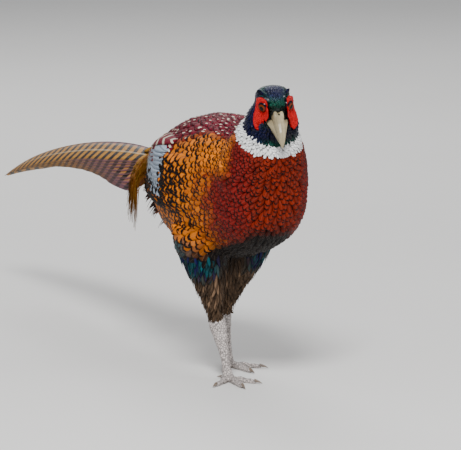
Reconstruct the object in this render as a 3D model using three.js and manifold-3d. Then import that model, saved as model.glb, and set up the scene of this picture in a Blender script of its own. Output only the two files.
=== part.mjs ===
import * as THREE from 'three';
import { mergeVertices } from 'three/addons/utils/BufferGeometryUtils.js';
import Module from 'manifold-3d';

// A common pheasant cock, standing, with its neck drawn in and its head
// turned a little to its right. Millimetres, +Z up. The bird faces -Y and
// its own right side is -X. Every part is built about the middle plane of
// the body, X = 0, on the floor Z = 0, and the whole bird is then moved so
// that the sole of its right foot is at the origin.

const wasm = await Module();
wasm.setup();

// Driving sizes
const GAP = 0.3;
const SLOPE_ALLOWANCE = 1.3;
const ROOT_SHARE = 0.25;
const SOLE_RIGHT = { x: -10, y: 0 };
const SOLE_LEFT = { x: 23, y: 70 };

// Feather vanes: width from root to tip, thickness, and how far each is
// turned so that it laps its neighbour
const VANE_PROFILE = [0.4, 0.78, 1, 1, 0.86, 0.56, 0.14];
const VANE_THICK = 0.9;
const VANE_TIP_THICK = 0.5;
const VANE_TILT = 0.17;

// Body sections from breast to vent: place along Y, height of the axis, half
// width, rise to the back and drop to the belly
const BODY = [
  { y: -98, z: 199, half: 11, up: 13, down: 11 },
  { y: -94, z: 197, half: 24, up: 28, down: 24 },
  { y: -83, z: 194, half: 36, up: 42, down: 39 },
  { y: -62, z: 190, half: 45, up: 59, down: 50 },
  { y: -30, z: 190, half: 51, up: 69, down: 62 },
  { y: 8, z: 190, half: 54, up: 73, down: 69 },
  { y: 45, z: 190, half: 56, up: 71, down: 74 },
  { y: 85, z: 190, half: 52, up: 62, down: 68 },
  { y: 120, z: 191, half: 42, up: 47, down: 53 },
  { y: 150, z: 193, half: 30, up: 31, down: 29 },
  { y: 172, z: 195, half: 20, up: 18, down: 14 },
  { y: 180, z: 196, half: 12, up: 9, down: 7 },
];
const BODY_FULLNESS = 0.92;
const BODY_RINGS = 13;
const BODY_SIDES = 22;
const RUMP_START = 132;
const RUMP_END = 180;

// Neck: the middle of the white collar and the lean of the neck there
const COLLAR_MIDDLE = new THREE.Vector3(-3.5, -79, 255);
const NECK_LEAN = 29;
const COLLAR_HALF = 33;
const COLLAR_DEPTH = 35;
const COLLAR_TOP = 3;
const COLLAR_BOTTOM = -8;
const NECK_SIDES = 18;

// Head: the middle between the eyes, and how the head is turned
const EYES_MIDDLE = new THREE.Vector3(-7.5, -100, 283);
const HEAD_PITCH = 28;
const HEAD_YAW = -14.5;
const HEAD_ROLL = -2.6;
const EYE_OUT = 10.6;
const EYE_UP = 2;
const EYE_RADIUS = 6.2;

// Head sections from the bill back: place along the head, height of the
// axis, half width, rise and drop
const SKULL = [
  { y: -19, z: 0, half: 3.5, up: 4, down: 6 },
  { y: -16.5, z: -1, half: 6, up: 7, down: 9 },
  { y: -10, z: -1, half: 8.8, up: 11.5, down: 13 },
  { y: -2, z: 0, half: 12, up: 14, down: 17 },
  { y: 8, z: 0, half: 15.2, up: 14.5, down: 19 },
  { y: 18, z: 0, half: 16.6, up: 12.5, down: 20 },
  { y: 28, z: -4, half: 15, up: 9.5, down: 15 },
  { y: 36, z: -7, half: 11, up: 6.5, down: 10 },
  { y: 41, z: -8, half: 5.5, up: 3.5, down: 5.5 },
];

// Bill, from inside the face to the tip: its ridge, the flared edge of its
// upper half and its lower half
const BILL_RIDGE = [
  { y: -9, z: -4, half: 5.8, up: 6, down: 8.2 },
  { y: -17, z: -3.2, half: 5.4, up: 7, down: 7.6 },
  { y: -24, z: -3.8, half: 5.2, up: 7, down: 6.8 },
  { y: -31, z: -5.6, half: 4.6, up: 5.8, down: 5.4 },
  { y: -38, z: -9.5, half: 3.5, up: 4.3, down: 3.9 },
  { y: -42.5, z: -14, half: 1.9, up: 2.3, down: 1.9 },
  { y: -44.2, z: -16.8, half: 0.6, up: 0.6, down: 0.6 },
];
const BILL_EDGE = [
  { y: -8, z: -10.4, half: 11, up: 2.6, down: 2 },
  { y: -14, z: -9.6, half: 10, up: 3.4, down: 2.2 },
  { y: -22, z: -9.2, half: 7.8, up: 3.8, down: 2 },
  { y: -30, z: -9.8, half: 5.6, up: 3.6, down: 1.6 },
  { y: -36, z: -11.4, half: 3.8, up: 2.6, down: 1.4 },
];
const BILL_LOWER = [
  { y: -8, z: -14.6, half: 9.4, up: 2.4, down: 2.4 },
  { y: -17, z: -13.2, half: 7.6, up: 2.4, down: 2.8 },
  { y: -25, z: -13.1, half: 5.6, up: 2.6, down: 2.4 },
  { y: -33, z: -14.1, half: 3.7, up: 2.6, down: 2.0 },
  { y: -38.5, z: -16.0, half: 1.9, up: 1.6, down: 1.2 },
  { y: -40, z: -16.6, half: 0.8, up: 0.7, down: 0.5 },
];

// Red face skin: its outline on the bird's left, from the brow down its front
// edge to the gape, round the hanging lobe and up behind the eye
const WATTLE_OUTLINE = [
  [17.8, 7.6, 6.4],
  [15, 1, 10],
  [12.4, -5.9, 11],
  [9.8, -12, 7.6],
  [8.3, -15.2, 0.2],
  [8.2, -14.6, -6.9],
  [11.7, -9, -6.4],
  [13.2, -11, -15],
  [17.6, -9.6, -21],
  [21.8, -6.8, -16.6],
  [21, 2.6, -9.8],
  [18.8, 5.4, -4],
];
const WATTLE_MIDDLE = [13.8, -3.2, -4];
const WATTLE_SIDES = 18;
const LID_RISE = 4.3;
const LID_RADIUS = 4.9;

// Layers of that skin from its buried side out: how far each draws in
// towards the middle, and how far it stands out
const WATTLE_LAYERS = [
  { draw: 0.5, rise: -6 },
  { draw: 0.06, rise: -4 },
  { draw: 0, rise: -0.4 },
  { draw: 0.08, rise: 0.7 },
  { draw: 0.35, rise: 1.1 },
  { draw: 0.7, rise: 1.1 },
];
const BULBS = 7;
const BULB_RISE = 2.2;

// Ear tufts: locks in each, their root on the bird's left and their reach
const TUFT_LOCKS = 4;
const TUFT_ROOT = [11.4, 8, 8.6];
const TUFT_REACH = [4.4, 8.6, 1.6];

// Wing, laid along the side: from the bend to the end of its flesh, and from
// its upper to its lower edge as degrees round the body from the back
const WING = { bend: -6, end: 98, upper: 46, lower: 98, edge: 2.2, thick: 4.6 };

// Tiers of wing feathers, from the longest, lowest ones to the small upper
// ones: each from its lowest to its highest feather
const WING_TIERS = [
  {
    count: 4, pieces: 3,
    rootY: 78, tipY: [150, 172],
    root: [97, 79], tip: [92, 66],
    half: 6.6, lift: [3.2, 4.6],
  },
  {
    count: 5, pieces: 4,
    rootY: 54, tipY: [118, 148],
    root: [100, 62], tip: [97, 58],
    half: 8.6, lift: [5.2, 5.8],
  },
  {
    count: 2, pieces: 4,
    rootY: 42, tipY: [132, 146],
    root: [62, 50], tip: [64, 50],
    half: 8.6, lift: [6.2, 6.4],
  },
  {
    count: 5, pieces: 3,
    rootY: 28, tipY: [84, 94],
    root: [98, 54], tip: [99, 53],
    half: 8.8, lift: [7.2, 7.6],
  },
  {
    count: 4, pieces: 3,
    rootY: 4, tipY: [46, 54],
    root: [94, 56], tip: [97, 55],
    half: 9.6, lift: [9, 9.4],
  },
];

// Tail feathers of one side, from the middle pair out: length behind the
// rump, half width and width from root to tip. They lie in layers under a
// roof that falls away from the middle.
const TAIL_LENGTHS = [412, 362, 308, 258, 214, 176, 146, 120, 98];
const TAIL_ROOT_Y = 184;
const TAIL_ROOF = 38;
const TAIL_LAYER = 1.3;
const TAIL_PROFILE = [0.3, 0.8, 1, 0.98, 0.84, 0.66, 0.46, 0.26, 0.08];
const TAIL_WIDTHS = TAIL_PROFILE.map((share, k) => ({ t: k / (TAIL_PROFILE.length - 1), share }));
const TAIL_FEATHER_HALF = [13, 13.5, 13.5, 13, 12.5, 12, 11.5, 11, 10.5];

// Rows of feathers over the root of the tail, and loose plumes at its sides
const COVERT_ROWS = [
  { count: 4, rootY: 136, tipY: 192, spread: 56, lift: 2.6 },
  { count: 3, rootY: 150, tipY: 210, spread: 44, lift: 4.6 },
  { count: 2, rootY: 162, tipY: 226, spread: 24, lift: 6.6 },
];
const PLUMES = 5;
const UNDER_COVERTS = 3;

// Tail: the line of the back of its middle feathers, root to tip
const TAIL_LINE = [
  { y: 180, z: 202 },
  { y: 225, z: 204 },
  { y: 290, z: 200 },
  { y: 390, z: 185 },
  { y: 490, z: 162 },
  { y: 592, z: 125 },
];

// Legs: hip, ankle and foot of each side
const LEGS = [
  {
    side: 'right',
    out: -1,
    hip: new THREE.Vector3(-33, 20, 148),
    ankle: new THREE.Vector3(-11, 24, 52),
    sole: SOLE_RIGHT,
    turn: -6,
  },
  {
    side: 'left',
    out: 1,
    hip: new THREE.Vector3(33, 42, 148),
    ankle: new THREE.Vector3(29, 98, 48),
    sole: SOLE_LEFT,
    turn: 6,
  },
];

// Broad scales down each shank
const SCUTES = 6;

// Toes: degrees outward from straight ahead, length, and radius at the root
const TOES = [
  { name: 'inner', degrees: -42, length: 30, radius: 3.6 },
  { name: 'middle', degrees: 0, length: 41, radius: 3.9 },
  { name: 'outer', degrees: 42, length: 33, radius: 3.5 },
  { name: 'hind', degrees: 165, length: 14, radius: 2.8 },
];

const COLOURS = {
  copper: { color: 0x8a3312, roughness: 0.6, metalness: 0.1 },
  greyBlue: { color: 0x8d98a0, roughness: 0.7, metalness: 0.0 },
  green: { color: 0x10332f, roughness: 0.35, metalness: 0.3 },
  white: { color: 0xe8e6e0, roughness: 0.8, metalness: 0.0 },
  red: { color: 0xb5121b, roughness: 0.6, metalness: 0.0 },
  horn: { color: 0xd2c8a6, roughness: 0.4, metalness: 0.0 },
  amber: { color: 0x8f4a12, roughness: 0.15, metalness: 0.0 },
  buff: { color: 0xb99257, roughness: 0.7, metalness: 0.0 },
  olive: { color: 0x9a7b39, roughness: 0.75, metalness: 0.0 },
  brown: { color: 0x3f2a1c, roughness: 0.8, metalness: 0.0 },
  scale: { color: 0xb9a79c, roughness: 0.5, metalness: 0.0 },
  claw: { color: 0x5d5148, roughness: 0.4, metalness: 0.0 },
};

const radians = THREE.MathUtils.degToRad;
const { lerp, clamp, smoothstep } = THREE.MathUtils;

// Smooth value of every field of a table of sections at one place along it
function between(sections, along, at) {
  const last = sections.length - 1;
  const rising = Math.sign(sections[last][along] - sections[0][along]);
  let i = 0;
  while (i < last - 1 && (at - sections[i + 1][along]) * rising > 0) i += 1;
  const [a, b] = [sections[i], sections[i + 1]];
  const before = sections[Math.max(i - 1, 0)];
  const after = sections[Math.min(i + 2, last)];
  const span = b[along] - a[along];
  const t = clamp((at - a[along]) / span, 0, 1);
  const result = {};
  for (const field of Object.keys(a)) {
    const leave = ((b[field] - before[field]) / (b[along] - before[along])) * span;
    const arrive = ((after[field] - a[field]) / (after[along] - a[along])) * span;
    result[field] = a[field] * (2 * t ** 3 - 3 * t ** 2 + 1) + leave * (t ** 3 - 2 * t ** 2 + t)
      + b[field] * (3 * t ** 2 - 2 * t ** 3) + arrive * (t ** 3 - t ** 2);
  }
  return result;
}

// Values from one end to the other, closer together near both ends
function easedSteps(from, to, count) {
  const steps = [];
  for (let i = 0; i < count; i += 1) {
    steps.push(lerp(from, to, (1 - Math.cos((Math.PI * i) / (count - 1))) / 2));
  }
  return steps;
}

function evenSteps(from, to, count) {
  return Array.from({ length: count }, (_, i) => lerp(from, to, i / (count - 1)));
}

// Closed skin over a row of rings, each a list of points round the form. In
// a matched skin the second half of each ring is split the other way, so
// that both faces of a thin vane have the same triangles.
function skinRings(rings, matched = false) {
  const count = rings[0].length;
  const points = rings.flat();
  const faces = [];
  for (let r = 0; r + 1 < rings.length; r += 1) {
    for (let i = 0; i < count; i += 1) {
      const a = r * count + i;
      const b = r * count + ((i + 1) % count);
      const [c, d] = [a + count, b + count];
      const other = matched && i >= count / 2;
      faces.push(...(other ? [a, b, c, b, d, c] : [a, b, d, a, d, c]));
    }
  }
  const lastRing = points.length - count;
  const caps = matched ? stripCap(count) : fanCap(count);
  for (const [a, b, c] of caps) {
    faces.push(a, c, b);
    faces.push(lastRing + a, lastRing + b, lastRing + c);
  }
  return shapeOf(points, faces);
}

// Triangles that close a ring, from its first point, or across a thin vane
function fanCap(count) {
  return Array.from({ length: count - 2 }, (_, i) => [0, i + 1, i + 2]);
}

function stripCap(count) {
  const caps = [];
  for (let i = 0; i + 1 < count / 2; i += 1) {
    caps.push([i, i + 1, count - 2 - i], [i, count - 2 - i, count - 1 - i]);
  }
  return caps;
}

// Indexed geometry with its faces turned outward
function shapeOf(points, faces) {
  let volume = 0;
  for (let i = 0; i < faces.length; i += 3) {
    const [a, b, c] = [points[faces[i]], points[faces[i + 1]], points[faces[i + 2]]];
    volume += a.dot(new THREE.Vector3().crossVectors(b, c));
  }
  const outward = volume < 0 ? faces.slice().reverse() : faces;
  const geometry = new THREE.BufferGeometry().setFromPoints(points);
  geometry.setIndex(outward);
  return geometry;
}

function solidOf(geometry) {
  return new wasm.Manifold(new wasm.Mesh({
    numProp: 3,
    vertProperties: new Float32Array(geometry.attributes.position.array),
    triVerts: new Uint32Array(geometry.index.array),
  }));
}

// The same closed shape with every point moved out along its normal
function grown(geometry, amount) {
  const copy = geometry.clone();
  copy.computeVertexNormals();
  const place = copy.attributes.position;
  const normal = copy.attributes.normal;
  for (let i = 0; i < place.count; i += 1) {
    place.setXYZ(
      i,
      place.getX(i) + normal.getX(i) * amount,
      place.getY(i) + normal.getY(i) * amount,
      place.getZ(i) + normal.getZ(i) * amount,
    );
  }
  return copy;
}

function solidGrown(geometry, amount = GAP) {
  return solidOf(grown(geometry, amount));
}

// The largest closed surface of a solid
function largest(solid) {
  const pieces = solid.decompose();
  return pieces.reduce((best, piece) => (piece.volume() > best.volume() ? piece : best));
}

function join(solids) {
  return solids.reduce((all, one) => all.add(one));
}

function cutBy(solid, tools) {
  return largest(tools.reduce((left, tool) => left.subtract(tool), solid));
}

function geometryOf(solid) {
  const mesh = solid.getMesh();
  const geometry = new THREE.BufferGeometry();
  const points = new Float32Array(mesh.numVert * 3);
  for (let i = 0; i < mesh.numVert; i += 1) {
    for (let k = 0; k < 3; k += 1) {
      points[i * 3 + k] = mesh.vertProperties[i * mesh.numProp + k];
    }
  }
  geometry.setAttribute('position', new THREE.BufferAttribute(points, 3));
  geometry.setIndex(Array.from(mesh.triVerts));
  return geometry;
}

// Ring round a section in a plane across Y
function crossRing(section, sides, fullness = 1) {
  return Array.from({ length: sides }, (_, i) => {
    const angle = (2 * Math.PI * i) / sides;
    const [s, c] = [Math.sin(angle), Math.cos(angle)];
    const reach = c > 0 ? section.up : section.down;
    return new THREE.Vector3(
      section.half * Math.sign(s) * Math.abs(s) ** fullness,
      section.y,
      section.z + reach * Math.sign(c) * Math.abs(c) ** fullness,
    );
  });
}

// Form through a table of sections. A margin makes the same form larger all
// round, for the space that a neighbour keeps clear.
function sectionForm(sections, steps, sides, fullness, margin = 0) {
  const way = Math.sign(steps[1] - steps[0]);
  return skinRings(steps.map((y, k) => {
    const section = between(sections, 'y', y);
    if (k === 0) section.y -= way * margin;
    if (k === steps.length - 1) section.y += way * margin;
    for (const field of ['half', 'up', 'down']) section[field] += margin * SLOPE_ALLOWANCE;
    return crossRing(section, sides, fullness);
  }));
}

// A point on the side of the body, lifted out from it: place along Y, and
// degrees round from the back towards the given side
function onBody(out, y, degrees, lift) {
  const section = between(BODY, 'y', y);
  const angle = radians(degrees);
  const [s, c] = [Math.sin(angle), Math.cos(angle)];
  const reach = c > 0 ? section.up : section.down;
  const half = section.half;
  const slope = new THREE.Vector2(s / half, c / reach).normalize();
  const x = half * Math.sign(s) * Math.abs(s) ** BODY_FULLNESS + slope.x * lift;
  const z = section.z + reach * Math.sign(c) * Math.abs(c) ** BODY_FULLNESS + slope.y * lift;
  return new THREE.Vector3(out * x, y, z);
}

// Round form along a path: each stop has a place, a half width across X and
// a half depth across the path
function limb(stops, sides) {
  const rings = stops.map((stop, k) => {
    const ahead = stops[Math.min(k + 1, stops.length - 1)].at;
    const behind = stops[Math.max(k - 1, 0)].at;
    const along = new THREE.Vector3().subVectors(ahead, behind).normalize();
    const across = new THREE.Vector3(1, 0, 0).addScaledVector(along, -along.x).normalize();
    const deep = new THREE.Vector3().crossVectors(along, across);
    return Array.from({ length: sides }, (_, i) => {
      const angle = (2 * Math.PI * i) / sides;
      return stop.at.clone()
        .addScaledVector(across, Math.sin(angle) * stop.half)
        .addScaledVector(deep, Math.cos(angle) * stop.deep);
    });
  });
  return skinRings(rings);
}

// Thin tapered vane on a line: place(t) gives each middle point, and face(t)
// the direction of its upper face
function vane(place, face, half, pieces, { tilt = 0, margin = 0, width = VANE_PROFILE } = {}) {
  const rings = evenSteps(0, 1, pieces + 1).map((t) => {
    const at = place(t);
    const along = place(Math.min(t + 0.02, 1)).sub(place(Math.max(t - 0.02, 0))).normalize();
    const up = face(t).addScaledVector(along, -face(t).dot(along)).normalize();
    const side = new THREE.Vector3().crossVectors(along, up).addScaledVector(up, tilt).normalize();
    const spot = t * (width.length - 1);
    const low = Math.min(Math.floor(spot), width.length - 2);
    const share = lerp(width[low], width[low + 1], spot - low);
    const reach = Math.max(half * share, 0.6) + margin;
    const deep = lerp(VANE_THICK, VANE_TIP_THICK, t) / 2 + margin;
    const corner = (w, d) => at.clone().addScaledVector(side, w).addScaledVector(up, d);
    return [corner(-reach, deep), corner(reach, deep), corner(reach, -deep), corner(-reach, -deep)];
  });
  return solidOf(skinRings(rings, true));
}

// Vane that lies over the body: its root and tip as place along Y, degrees
// round from the back and lift off the skin
function bodyVane(out, root, tip, half, pieces, options) {
  const place = (t) => onBody(
    out,
    lerp(root.y, tip.y, t),
    lerp(root.degrees, tip.degrees, t),
    lerp(root.lift, tip.lift, Math.min(t / ROOT_SHARE, 1)),
  );
  const face = (t) => onBody(out, lerp(root.y, tip.y, t), lerp(root.degrees, tip.degrees, t), 20)
    .sub(onBody(out, lerp(root.y, tip.y, t), lerp(root.degrees, tip.degrees, t), 0));
  return vane(place, face, half, pieces, options);
}

function mergedForm(geometry) {
  geometry.deleteAttribute('normal');
  geometry.deleteAttribute('uv');
  return mergeVertices(geometry);
}

// Neck frame: up the neck, across it and towards its front
const neckUp = new THREE.Vector3(-0.05, -Math.sin(radians(NECK_LEAN)), Math.cos(radians(NECK_LEAN)));
neckUp.normalize();
const neckAcross = new THREE.Vector3(1, 0, 0).addScaledVector(neckUp, -neckUp.x).normalize();
const neckFront = new THREE.Vector3().crossVectors(neckUp, neckAcross).negate();

// Rings up the neck: distance from the collar's middle, half width and half depth
function neckForm(stations, sides = NECK_SIDES) {
  return skinRings(stations.map(({ t, half, deep }) => Array.from({ length: sides }, (_, i) => {
    const angle = (2 * Math.PI * i) / sides;
    return COLLAR_MIDDLE.clone()
      .addScaledVector(neckUp, t)
      .addScaledVector(neckAcross, half * Math.sin(angle))
      .addScaledVector(neckFront, deep * Math.cos(angle));
  })));
}

const headPlace = new THREE.Matrix4().compose(
  EYES_MIDDLE,
  new THREE.Quaternion().setFromEuler(
    new THREE.Euler(radians(HEAD_PITCH), radians(HEAD_ROLL), radians(HEAD_YAW), 'ZXY'),
  ),
  new THREE.Vector3(1, 1, 1),
);

function placedOnHead(geometry) {
  return geometry.clone().applyMatrix4(headPlace);
}

// Torso: body from the breast to the rump, and the root of the neck
function bodyForm(margin = 0) {
  const steps = easedSteps(BODY[0].y, RUMP_START, BODY_RINGS);
  return sectionForm(BODY, steps, BODY_SIDES, BODY_FULLNESS, margin);
}

function neckRootForm() {
  return neckForm([
    { t: -78, half: 40, deep: 40 },
    { t: -52, half: 48, deep: 48 },
    { t: -30, half: 43, deep: 43 },
    { t: COLLAR_BOTTOM - GAP, half: 35, deep: 37 },
  ]);
}

function collarForm() {
  return neckForm([
    { t: COLLAR_BOTTOM, half: COLLAR_HALF - 3, deep: COLLAR_DEPTH - 2 },
    { t: COLLAR_BOTTOM + 3, half: COLLAR_HALF, deep: COLLAR_DEPTH },
    { t: COLLAR_TOP - 4, half: COLLAR_HALF - 0.5, deep: COLLAR_DEPTH - 0.5 },
    { t: COLLAR_TOP, half: COLLAR_HALF - 4, deep: COLLAR_DEPTH - 4 },
  ]);
}

function neckTopForm() {
  return neckForm([
    { t: COLLAR_TOP + GAP, half: 27.5, deep: 28 },
    { t: 10, half: 27, deep: 27 },
    { t: 18, half: 25, deep: 25 },
    { t: 27, half: 21, deep: 22 },
    { t: 33, half: 15, deep: 15 },
  ]);
}

// Soft cover over each nostril, and the slit under it
function nostrilCovers(margin = 0) {
  return [-1, 1].map((out) => {
    const cover = new THREE.SphereGeometry(1, 8, 6).scale(2.4, 5.2, 2.8).rotateX(radians(24));
    return solidGrown(mergedForm(cover.translate(out * 2.9, -16.5, 1.6)), margin);
  });
}

function nostrilSlits() {
  return [-1, 1].map((out) => {
    const slit = new THREE.SphereGeometry(1, 8, 6).scale(2.2, 3.2, 0.5).rotateX(radians(24));
    return solidOf(mergedForm(slit.translate(out * 5.6, -19.4, -0.6)));
  });
}

function skullForm() {
  return sectionForm(SKULL, easedSteps(-19, 41, 13), 18, 0.88);
}

function eyeForm(out) {
  return mergedForm(new THREE.SphereGeometry(EYE_RADIUS, 12, 8).translate(out * EYE_OUT, 0, EYE_UP));
}

// Way that the face skin of one side looks
function faceWay(out) {
  return new THREE.Vector3(out * 0.74, -0.67, 0);
}

function mirrored([x, y, z], out) {
  return new THREE.Vector3(out * x, y, z);
}

// Smooth outline of the face skin of one side
function wattleOutline(out) {
  const corners = WATTLE_OUTLINE.map((corner) => mirrored(corner, out));
  return new THREE.CatmullRomCurve3(corners, true).getPoints(WATTLE_SIDES).slice(0, -1);
}

// Red skin round one eye, in rings from its buried side out
function wattleForm(out) {
  const middle = mirrored(WATTLE_MIDDLE, out);
  const outline = wattleOutline(out);
  return skinRings(WATTLE_LAYERS.map(({ draw, rise }) => outline.map((point) => (
    point.clone().lerp(middle, draw).addScaledVector(faceWay(out), rise)
  ))));
}

// Ridge of the lids round the eye
function lidForm(out) {
  const way = faceWay(out);
  const ring = new THREE.TorusGeometry(LID_RADIUS, 1, 4, 10);
  const turn = new THREE.Quaternion().setFromUnitVectors(new THREE.Vector3(0, 0, 1), way.clone().normalize());
  const place = mirrored([EYE_OUT, 0, EYE_UP], out).addScaledVector(way, LID_RISE);
  return mergedForm(ring.scale(1, 0.9, 1).applyQuaternion(turn).translate(place.x, place.y, place.z));
}

// Small bulbs over the red skin, between its middle and its edge
function wattleBulbs(out) {
  const middle = mirrored(WATTLE_MIDDLE, out);
  const outline = wattleOutline(out);
  return Array.from({ length: BULBS }, (_, i) => {
    const edge = outline[Math.round((i * outline.length) / BULBS)];
    const place = edge.clone().lerp(middle, 0.3 + 0.16 * (i % 2)).addScaledVector(faceWay(out), 0.9);
    const bulb = new THREE.OctahedronGeometry(1.5, 0).rotateX(i);
    return solidOf(mergedForm(bulb.translate(place.x, place.y, place.z)));
  });
}

// Ear tuft: flat locks that rise from one root and spread back
function tuftParts(out, margin = 0) {
  const root = mirrored(TUFT_ROOT, out);
  const [aside, back, up] = TUFT_REACH;
  return evenSteps(-1, 1, TUFT_LOCKS).map((spread) => vane(
    (t) => root.clone().add(new THREE.Vector3(
      out * (aside + spread * 0.5) * t,
      (back + spread * 3) * t,
      (up + 1.6 - spread * 2) * t - 1.6 * t * t,
    )),
    () => new THREE.Vector3(out * 0.8, -0.2, 0.55),
    3.2,
    3,
    { margin, width: [0.9, 1, 0.9, 0.7, 0.35] },
  ));
}

// Flesh of the wing on the side of the body, sunk a little into it
function wingForm(out) {
  return skinRings(evenSteps(WING.bend, WING.end, 9).map((y) => {
    const along = (y - WING.bend) / (WING.end - WING.bend);
    const open = Math.sin(Math.PI * clamp(0.14 + along * 0.72, 0, 1)) ** 0.5;
    const middle = lerp(77, 74, along);
    const spread = ((WING.lower - WING.upper) / 2) * open;
    const outer = evenSteps(-1, 1, 6).map((side) => {
      const lift = lerp(WING.edge, WING.thick, (1 - side * side) * open);
      return onBody(out, y, middle + side * spread, lift);
    });
    const inner = evenSteps(0.9, -0.9, 3).map((side) => onBody(out, y, middle + side * spread, -5));
    return [...outer, ...inner];
  }));
}

// Feathers of one tier side by side, each tipped a little under the next
function wingTier(out, tier) {
  return Array.from({ length: tier.count }, (_, i) => {
    const share = tier.count > 1 ? i / (tier.count - 1) : 0;
    const pick = ([from, to]) => lerp(from, to, share);
    const root = { y: tier.rootY, degrees: pick(tier.root), lift: 1.2 };
    const tip = { y: pick(tier.tipY), degrees: pick(tier.tip), lift: pick(tier.lift) };
    return bodyVane(out, root, tip, tier.half, tier.pieces, { tilt: out * VANE_TILT });
  });
}

function rumpForm(margin = 0) {
  const steps = easedSteps(RUMP_START + GAP, RUMP_END, 7);
  return sectionForm(BODY, steps, BODY_SIDES, BODY_FULLNESS, margin);
}

// Feathers over the tail root, under the vent, and loose plumes that hang
// at both sides, all rooted in the rump
function rumpVanes(margin = 0) {
  const parts = [];
  for (const row of COVERT_ROWS) {
    for (const turn of evenSteps(-1, 1, row.count)) {
      const root = { y: row.rootY, degrees: turn * row.spread, lift: -2 };
      const tip = { y: row.tipY - 10 * Math.abs(turn), degrees: turn * row.spread, lift: row.lift };
      parts.push(bodyVane(1, root, tip, 6.6, 3, { margin, tilt: VANE_TILT }));
    }
  }
  for (const turn of evenSteps(-1, 1, UNDER_COVERTS)) {
    const root = { y: 134, degrees: 180 + turn * 50, lift: -2 };
    const tip = { y: 182 - 8 * Math.abs(turn), degrees: 180 + turn * 44, lift: 1.5 };
    parts.push(bodyVane(1, root, tip, 7, 3, { margin, tilt: VANE_TILT }));
  }
  for (const out of [-1, 1]) {
    for (let i = 0; i < PLUMES; i += 1) {
      const share = i / (PLUMES - 1);
      const root = onBody(out, lerp(137, 168, share), 72 + 22 * (i % 2), -3);
      const fall = lerp(60, 42, share) * (1 + 0.12 * Math.sin(i * 1.7));
      const back = lerp(16, 34, share);
      const place = (t) => root.clone().add(new THREE.Vector3(
        out * (11 * Math.min(t * 2.2, 1) - 4 * t),
        back * t,
        4 * t - fall * t ** 1.5,
      ));
      parts.push(vane(place, () => new THREE.Vector3(out, 0.6, 0.3), 3.8, 3, { margin }));
    }
  }
  return parts;
}

// Flesh at the root of the tail
function tailRootForm() {
  return sectionForm([
    { y: RUMP_END + GAP, z: 196, half: 11, up: 6, down: 8 },
    { y: 196, z: 197, half: 13, up: 5, down: 10 },
    { y: 212, z: 198, half: 10, up: 3, down: 8 },
  ], [RUMP_END + GAP, 190, 202, 212], 12, 1);
}

// One tail feather. Those of one side lie in parallel planes that fall away
// from the middle like a roof, each under its inner neighbour.
function tailFeather(out, i) {
  const length = TAIL_LENGTHS[i];
  const half = TAIL_FEATHER_HALF[i];
  const turn = radians(TAIL_ROOF);
  const face = new THREE.Vector3(out * Math.sin(turn), 0, Math.cos(turn));
  const fall = new THREE.Vector3(out * Math.cos(turn), 0, -Math.sin(turn));
  const middle = (t) => {
    const y = lerp(TAIL_ROOT_Y, RUMP_END + length, t);
    const spread = Math.min(t * 5, 1);
    const width = half * between(TAIL_WIDTHS, 't', t).share;
    return new THREE.Vector3(out * 0.3, y, between(TAIL_LINE, 'y', y).z)
      .addScaledVector(fall, width + (0.6 + 2.6 * spread) * i)
      .addScaledVector(face, -VANE_THICK / 2 - TAIL_LAYER * i);
  };
  const pieces = Math.round(length / 70) + 3;
  return vane(middle, () => face.clone(), half, pieces, { width: TAIL_PROFILE });
}

function thighForm(leg) {
  const { hip, ankle } = leg;
  const at = (t) => new THREE.Vector3().lerpVectors(hip, ankle, t);
  return limb([
    { at: at(-0.08), half: 26, deep: 31 },
    { at: at(0.12), half: 27, deep: 33 },
    { at: at(0.35), half: 21, deep: 27 },
    { at: at(0.6), half: 14.5, deep: 17 },
    { at: at(0.82), half: 9.5, deep: 10.5 },
    { at: at(1.0), half: 7, deep: 7.5 },
  ], 16);
}

function tarsusForm(leg) {
  const { ankle, sole } = leg;
  const foot = new THREE.Vector3(sole.x, sole.y, 0);
  const at = (t) => new THREE.Vector3().lerpVectors(ankle, foot, t);
  const ring = (point, half, deep) => Array.from({ length: 12 }, (_, i) => {
    const angle = (2 * Math.PI * i) / 12;
    return new THREE.Vector3(
      point.x + Math.sin(angle) * half,
      point.y - Math.cos(angle) * deep,
      Math.max(point.z, 0),
    );
  });
  return skinRings([
    ring(at(-0.14), 3, 3.4),
    ring(at(-0.1), 4.6, 5.4),
    ring(at(0.04), 5.2, 6),
    ring(at(0.16), 4.2, 5),
    ring(at(0.45), 3.7, 4.3),
    ring(at(0.74), 3.7, 4.4),
    ring(at(0.88), 5.2, 6),
    ring(new THREE.Vector3(foot.x, foot.y, 3.2), 6.6, 7.2),
    ring(foot, 5.6, 6.2),
  ]);
}

// Broad scales down the front of the shank, each a curved plate whose lower
// edge stands out over the next
function scutes(leg) {
  const foot = new THREE.Vector3(leg.sole.x, leg.sole.y, 0);
  return Array.from({ length: SCUTES }, (_, i) => {
    const from = lerp(0.1, 0.84, i / SCUTES);
    const to = from + 0.66 / SCUTES;
    const corner = (share, radius, degrees) => {
      const middle = new THREE.Vector3().lerpVectors(leg.ankle, foot, share);
      const angle = radians(degrees);
      return middle.add(new THREE.Vector3(Math.sin(angle) * radius, -Math.cos(angle) * radius * 1.17, 0));
    };
    const rings = evenSteps(-62, 62, 4).map((degrees) => [
      corner(from, 3.2, degrees),
      corner(from, 4.5, degrees),
      corner(to, 4.9, degrees),
      corner(to, 3.2, degrees),
    ]);
    return solidOf(skinRings(rings));
  });
}

// Direction of a toe in the floor plane
function toeWay(leg, toe) {
  const angle = radians(leg.turn * leg.out + toe.degrees);
  return new THREE.Vector3(leg.out * Math.sin(angle), -Math.cos(angle), 0);
}

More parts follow.
